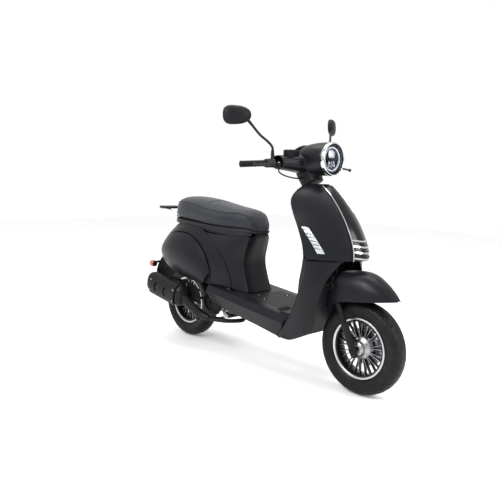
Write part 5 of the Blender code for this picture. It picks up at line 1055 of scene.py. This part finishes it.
def make_exhaust():
    """Oval silencer with seams, a bent header, and a heat shield with two curved slots and screws."""
    shares = [0.0, 0.004, 0.02, 0.045, 0.09, 0.15, 0.155, 0.16, 0.3, 0.5, 0.7, 0.84, 0.845, 0.85, 0.91,
            0.955, 0.98, 0.996, 1.0]
    rings = []
    for s in shares:
        bead = 0.0016 if s in (0.155, 0.845) else 0.0
        squeeze = 0.93 if s in (0.0, 1.0) else 1.0
        rings.append(muffler_ring(s, bead, 72, muffler_taper(s) * squeeze))
    can = loft(rings)
    header = pipe(places(milli((-150, -4, 200), (-150, -5, 191), (-144, -40, 184), (-200, -118, 184),
            (-320, -156, 190), (-395, -192, 244), (-440, -214, 290))), 0.0115, 24, 60)
    outlet_from = MUFFLER_REAR.lerp(MUFFLER_FRONT, 0.05) + Vector((0, 0, -0.012))
    outlet_to = MUFFLER_REAR + Vector((-0.028, 0, -0.014))
    reach = (outlet_to - outlet_from).length
    outlet = turned([(0.011, 0), (0.011, reach), (0.0092, reach), (0.0088, reach - 0.02),
            (0.0001, reach - 0.02)], outlet_from, outlet_to - outlet_from, 32, edge=0.0006)
    bracket = loft([[world(x, y, z) for x, z in milli((-352, 336), (-345, 262), (-500, 252), (-660, 286),
            (-668, 352), (-600, 372), (-470, 366))] for y in (-0.166, -0.162)])
    slots = [turned(milli((0.1, -10), (10, -10), (10, 10), (0.1, 10)), world(x, -0.164, 0.352 - 0.003 * k),
            Y, 24) for k, x in enumerate((-0.585, -0.555, -0.505, -0.47))]
    bracket = cut(bracket, *slots)
    stay = turned([(0.007, 0), (0.007, 0.046)], world(-0.372, -0.168, 0.284), (0.02, 0.0484, 0), 20)
    lugs = [turned([(0.009, 0), (0.009, 0.022)], world(x, -0.184, z), Y, 20) for x,
            z in ((-0.47, 0.3), (-0.64, 0.32))]
    show("exhaust_silencer", together([can, outlet, bracket, stay] + lugs), "black_steel", "swing_unit",
            node="exhaust", sharp=40)
    show("exhaust_header", header, "black_steel", "swing_unit")
    cover_route = places(milli((-282, -147, 186), (-330, -160, 196), (-395, -192, 244), (-436, -212, 287)))
    cover = pipe(cover_route, lambda t: 0.015 + 0.011 * min(1.0, 2.2 * t) ** 0.8, 28, 30)
    show("exhaust_header_cover", cover, "black_steel", "swing_unit")
    grid = []
    low, high = math.radians(-74), math.radians(74)
    for s in np.linspace(0.1, 0.86, 30):
        grid.append(muffler_ring(s, 0.0066, 40, 1.0, low, high))
    skin = mesh_of([p for row in grid for p in row], rows_to_faces(len(grid), 40, False, False))
    skin = processed(skin, ("SOLIDIFY", {"thickness": 0.0024, "offset": 0.0}))
    tools = []
    for s in (0.33, 0.6):
        centre = MUFFLER_FRONT.lerp(MUFFLER_REAR, s)
        outline = []
        for start, sweep, wide, tall in ((100, 160, 0.027, 0.029), (260, -160, 0.015, 0.0175)):
            for k in range(19):
                angle = math.radians(start + sweep * k / 18)
                outline.append((math.cos(angle) * wide, math.sin(angle) * tall))
        tools.append(loft([[centre - MUFFLER_AXIS * u + MUFFLER_UP * v + Vector((0, y, 0)) for u,
                v in outline] for y in (-0.085, -0.03)]))
    skin = cut(skin, *tools)
    skin = processed(skin, ("BEVEL", {"width": 0.0006, "segments": 2, "limit_method": "ANGLE",
            "angle_limit": math.radians(50)}))
    show("heat_shield_skin", skin, "black_plastic", "swing_unit", node="heat_shield", sharp=40)
    screws = []
    for s, v in ((0.14, 0.03), (0.14, -0.03), (0.81, 0.03), (0.81, -0.03)):
        angle = math.asin(v / 0.066)
        centre = MUFFLER_FRONT.lerp(MUFFLER_REAR, s) + MUFFLER_UP * v + Vector((0,
                -(0.053 * math.cos(angle) ** 0.8), 0))
        screws.append(turned(milli((0.1, 2.2), (1.6, 2.2), (1.8, 1.2), (3, 2.2), (4.6, 1.8), (5.2, 0),
                (5.2, -4)), centre + Vector((0, -0.0006, 0)), (0, -1, 0), 24, edge=0.0002))
    show("heat_shield_screws", together(screws), "steel", "swing_unit")


def make_shock_spring():
    """The damper's coil, a fixed helix on the spring's body."""
    top, foot = world(-0.59, 0.112, 0.56), world(-0.65, 0.112, 0.322)
    axis = (foot - top).normalized()
    first, second = across(axis)
    start, end = 0.033, (foot - top).length - 0.054
    turns, steps, stroke = 6, 24, 0.0594
    path = []
    for k in range(turns * steps + 1):
        share = k / (turns * steps)
        angle = TAU * turns * share
        along = start + (end - start) * min(max((share - 0.06) / 0.88, 0), 1)
        path.append(top + axis * along + (first * math.cos(angle) + second * math.sin(angle)) * 0.0185)
    coil = show("shock_coil", pipe(path, 0.003, 10), "steel", body_of["shock_spring"], node="shock_spring")
    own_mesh(coil)


def make_front_indicator_bars():
    """Slanted dark ribs across each front indicator's lens."""
    for sign, side in SIDES:
        work = bmesh.new()
        work.from_mesh(nodes["front_indicator_" + side].data)
        tree = BVHTree.FromBMesh(work)
        work.free()
        ribs = []
        for z in np.linspace(0.647, 0.735, 7):
            line = []
            for y in np.linspace(0.09, 0.2, 111):
                hit = tree.ray_cast(Vector((1.0, sign * y, z + (y - 0.145) * 0.35)), Vector((-1, 0, 0)))[0]
                if hit:
                    line.append(hit + Vector((0.0004, 0, 0)))
            if len(line) > 4:
                ribs.append(pipe([line[0], line[len(line) // 2], line[-1]], 0.0013, 8, 12))
        show("front_indicator_%s_ribs" % side, together(ribs), "lamp_black", "chassis")


def make_rear_lamps():
    for sign, side in SIDES:
        tip = world(-0.862, sign * 0.128, 0.413)
        root = world(-0.8515, sign * 0.086, 0.4233)
        body = turned(milli((0.1, -31), (8.5, -30.4), (15, -28), (17.8, -23.5), (17.8, -20.5),
                (0.1, -20.5)), tip, (-1, 0, 0), 56, edge=0.002)
        stalk = pipe([root, root.lerp(tip, 0.5) + Vector((0, 0, 0.001)), tip],
                lambda t: 0.0072 - 0.0012 * t, 20, 12)
        show("rear_indicator_%s_body" % side, united(body, stalk), "black_plastic", "chassis")
        glass = turned(milli((0.1, -20), (17.6, -20), (20.5, -12), (22.2, -2), (21.6, 4.5), (17, 9.8),
                (9, 13), (0.1, 14)), tip, (-1, 0, 0), 56, edge=0.002)
        show("rear_indicator_%s_lens" % side, glass, "amber_lens", "chassis", node="rear_indicator_" + side)
    rings = []
    for x, wide, tall in milli((-884.5, 25, 17), (-886.5, 26.5, 18.5), (-888, 31, 21.5), (-890.5, 32, 22),
            (-893.5, 30.5, 20.8), (-895.5, 26, 17.5), (-896, 18, 11.5)):
        rings.append(outline_ring(world(x, 0, 0.498), Y, Z, wide, tall, 2.6, 64))
    show("tail_light_lens", loft(rings), "red_lens", "chassis", node="tail_light")


def make_rack():
    """Black slotted top plate on two bright bent legs with a lower bar."""
    outer = [outline_ring(world(-0.838, 0, z), X, Y, 0.062 - d, 0.072 - d, 5, 96) for z,
            d in ((0.7545, 0.0012), (0.7555, 0.0), (0.7645, 0.0), (0.7658, 0.0014))]
    hole = [outline_ring(world(-0.838, 0, z), X, Y, 0.034, 0.03, 5, 64) for z in (0.74, 0.78)]
    tools = [loft(hole)]
    for sign in (-1, 1):
        for x in (-0.872, -0.806):
            tools.append(block(world(x, sign * 0.051, 0.76), (0.04, 0.008, 0.05), bevel=0.0035))
    show("rear_rack_plate", cut(loft(outer), *tools), "rack_black", "chassis", "rear_rack")
    legs = []
    for sign in (-1, 1):
        legs.append(pipe(places(milli((-712, 34, 656.5), (-722, 36, 686), (-750, 46, 732),
                (-800, 58, 748.5), (-880, 58, 750.5)), sign), 0.0072, 20, 40))
    legs.append(turned([(0.006, 0), (0.006, 0.092)], world(-0.752, -0.046, 0.732), Y, 20))
    legs.append(pipe(places(milli((-880, -58, 750.5), (-892, -45, 750.5), (-894, 0, 750.5),
            (-892, 45, 750.5), (-880, 58, 750.5))), 0.006, 16, 30))
    show("rear_rack_legs", together(legs), "chrome", "chassis", sharp=60)


def floor_height(x):
    return 0.323 + (0.32 - x) * 0.1 - 0.004


def make_mat():
    """Rubber mat on the foot board, with raised ribs, two oval bosses, screws and a bright slot each side."""
    rows, cols = 64, 72
    verts = []
    for i in range(rows + 1):
        for j in range(cols + 1):
            x = 0.268 - 0.3 * i / rows
            y = (-1 + 2 * j / cols) * table([(-0.032, 0.128), (0.1, 0.142), (0.268, 0.136)], x)
            edge = min(i, rows - i, j, cols - j)
            rib = 0.0012 if (j % 6 < 3 and 5 < i < rows - 5 and edge > 4) else 0.0
            verts.append(world(x, y, floor_height(x) + 0.0004 + min(edge, 1) * 0.0022 + rib))
    show("floor_mat", open_sheet(verts, rows + 1, cols + 1), "mat", "chassis", sharp=60)
    extras, bright = [], []
    for sign in (-1, 1):
        for x, y in ((0.01, 0.06), (0.075, 0.085)):
            place = world(x, sign * y, floor_height(x) + 0.003)
            extras.append(turned(milli((5, 0), (11, 0), (11, 2), (9.5, 2.8), (6.2, 1.2), (5, 1.2)), place,
                    (0.1, 0, 1), 40, True, 0.0004))
            bright.append(turned(milli((0.1, 0), (4.6, 0), (4.6, 1), (3, 2.2), (0.1, 2.4)), place,
                    (0.1, 0, 1), 24, edge=0.0003))
        slot_at = world(0.232, sign * 0.1, floor_height(0.232) + 0.003)
        turn = Matrix.Rotation(math.radians(5.7), 3, "Y")
        extras.append(cut(block(slot_at, (0.03, 0.07, 0.006), turn, 0.002),
                block(slot_at + Vector((0, 0, 0.004)), (0.02, 0.06, 0.008), turn, 0.001)))
        bright.append(block(slot_at + Vector((-0.012, 0, 0.0034)), (0.003, 0.058, 0.0016), turn, 0.0005))
    show("floor_mat_bosses", together(extras), "rubber", "chassis")
    show("floor_mat_fixings", together(bright), "steel", "chassis")


# ------------------------------------------------------------------ all pieces
MAT.update({
    "rim_black": paint("rim_black_enamel", (0.0045, 0.0045, 0.0055), 0.26, 0.05, 0.12, spec=0.18),
    "rim_face": metal("spoke_machined_edge", (0.3, 0.31, 0.33), 0.3, (1.0, 6.0, 1.0), 200.0, 0.06, 0.03),
    "hub_cast": cast("hub_cast_alloy", (0.34, 0.34, 0.35), 0.36, 1.0, 0.12),
    "disc_steel": metal("brake_disc_steel", (0.5, 0.5, 0.51), 0.26, (1.0, 1.0, 1.0), 300.0, 0.07, 0.05),
    "lamp_black": plastic("lamp_black_bezel", (0.008, 0.008, 0.009), 0.22, 700.0, 0.02),
    "reflector": metal("lamp_reflector", (0.1, 0.105, 0.12), 0.18, scale=90.0),
    "halo": lens("lamp_halo_guide", (0.55, 0.6, 0.7), 0.3, 500.0, 0.0, 0.2, 0.18),
    "projector_upper": lens("projector_lens_bright", (0.6, 0.65, 0.74), 0.05, 120.0, 0.2, 0.05, 0.45),
    "projector_lower": lens("projector_lens_dark", (0.1, 0.12, 0.15), 0.05, 120.0, 0.4, 0.05),
    "dial_face": plastic("dial_face_print", (0.01, 0.011, 0.013), 0.4, 900.0, 0.02),
    "mark_white": plastic("dial_marks_white", (0.8, 0.8, 0.8), 0.4, 900.0, 0.02),
    # near-black plastic for the real seam lines, also used as painted shade on the inner linings
    "seam_and_shade_black": plastic("panel_seam_and_shade_black", (0.004, 0.004, 0.005), 0.6),
    "lever_black": cast("lever_black_coat", (0.01, 0.01, 0.011), 0.32, 0.2, 0.06),
    "mirror_glass": metal("mirror_silvering", (0.9, 0.91, 0.93), 0.03, scale=40.0, spread=0.01, dents=0.0),
    "piping": vinyl("seat_piping_vinyl", (0.008, 0.0086, 0.0105), 0.42),
    "rack_black": cast("rack_black_coat", (0.007, 0.007, 0.0085), 0.36, 0.1, 0.08),
    "mat": plastic("floor_mat_rubber", (0.008, 0.008, 0.0092), 0.58, 420.0, 0.25),
})


def clear_cover():
    n = Nodes("clear_cover_glass", (0.95, 0.97, 1.0), 0.03, 0.0)
    n.shader.inputs["Transmission Weight"].default_value = 1.0
    n.shader.inputs["IOR"].default_value = 1.12
    n.rough(n.grey(n.noise(60.0), 0.02, 0.05, 0.3, 0.7))
    return n.material


MAT["clear_cover"] = clear_cover()


for name, node in nodes.items():
    node.data.materials.clear()
    node.data.materials.append(MAT[slot_of[name]])

REFINED = (("front_cover", 0.0007), ("tie_cover", 0.0006), ("tie_trim", 0.0006), ("wheel_arch", 0.0008),
        ("inner_shield", 0.0006), ("front_fender", 0.0008), ("floor_panel", 0.0008),
        ("under_seat_panel", 0.0008), ("body_panel_right", 0.0008), ("body_panel_left", 0.0008),
        ("side_cowl_right", 0.0008), ("side_cowl_left", 0.0008), ("tail_cover", 0.0006),
        ("rear_fender", 0.0008), ("front_indicator_right", 0.0008), ("front_indicator_left", 0.0008),)
for name, width in REFINED:
    refined(name, width)
sweep_arch_edge(bpy.data.objects["wheel_arch_skin"])
make_wheels()
make_headlight()
make_headset()
make_speedometer()
make_grips()
make_reservoir()
make_levers()
make_mirrors()
make_seat_welts(make_seat())
make_seat_skirt()
make_shade_linings()
make_exhaust()
make_shock_spring()
make_front_indicator_bars()
make_rear_lamps()
make_rack()
make_mat()


# ------------------------------------------------------------------ stage, light and camera
def stage_scene():
    floor = bpy.data.meshes.new("floor")
    floor.from_pydata([(-9, -9, -0.002), (9, -9, -0.002), (9, 9, -0.002), (-9, 9, -0.002)], [],
            [(0, 1, 2, 3)])
    base = Nodes("pale_floor", (0.93, 0.93, 0.93), 0.7, 0.0)
    base.colour(base.ramp(base.noise(3.0), [(0.3, (0.92, 0.92, 0.92)), (0.7, (0.94, 0.94, 0.94))]))
    floor.materials.append(base.material)
    ground = bpy.data.objects.new("floor", floor)
    scene.collection.objects.link(ground)
    studio = bpy.data.worlds.new("studio")
    studio.use_nodes = True
    back = studio.node_tree.nodes["Background"]
    back.inputs["Color"].default_value = (1, 1, 1, 1)
    back.inputs["Strength"].default_value = 1.0
    scene.world = studio
    scene.view_settings.view_transform = "Standard"
    for name, place, target, size, power in (("key", (0.2, -3.6, 3.2), (0, 0, 0.6), (2.2, 1.6), 170),
            ("side", (3.8, 0.6, 2.2), (0.3, 0, 0.6), (1.2, 2.4), 90),
            ("top", (-0.3, 0.2, 3.6), (-0.2, 0, 0.6), (3.2, 1.8), 95)):
        data = bpy.data.lights.new(name, "AREA")
        data.shape = "RECTANGLE"
        data.size, data.size_y = size
        data.energy = power
        lamp = bpy.data.objects.new(name, data)
        lamp.location = place
        lamp.rotation_mode = "QUATERNION"
        lamp.rotation_quaternion = (Vector(target) - Vector(place)).to_track_quat("-Z", "Y")
        scene.collection.objects.link(lamp)


VIEW_DEGREES = (46.341, 7.116, 1.966)      # azimuth, elevation and roll of the photo
VIEW_TARGET = Vector((-0.13 + DATUM_X, 0, 0.57))
VIEW_DISTANCE = 3.075
FOCAL_PIXELS = 570.924
IMAGE_PIXELS = 500.0
SENSOR_WIDTH = 36.0


def make_camera():
    azimuth, elevation, roll = (math.radians(v) for v in VIEW_DEGREES)
    back = Vector((math.sin(azimuth) * math.cos(elevation), -math.cos(azimuth) * math.cos(elevation),
            math.sin(elevation)))
    right = Vector((math.cos(azimuth), math.sin(azimuth), 0))
    up = back.cross(right)
    right, up = (right * math.cos(roll) + up * math.sin(roll), up * math.cos(roll) - right * math.sin(roll))
    data = bpy.data.cameras.new("camera")
    data.sensor_width = SENSOR_WIDTH
    data.lens = FOCAL_PIXELS * SENSOR_WIDTH / IMAGE_PIXELS
    camera = bpy.data.objects.new("camera", data)
    place = VIEW_TARGET + back * VIEW_DISTANCE
    camera.matrix_world = Matrix((right, up, back)).transposed().to_4x4()
    camera.matrix_world.translation = place
    scene.collection.objects.link(camera)
    scene.camera = camera


stage_scene()
make_camera()
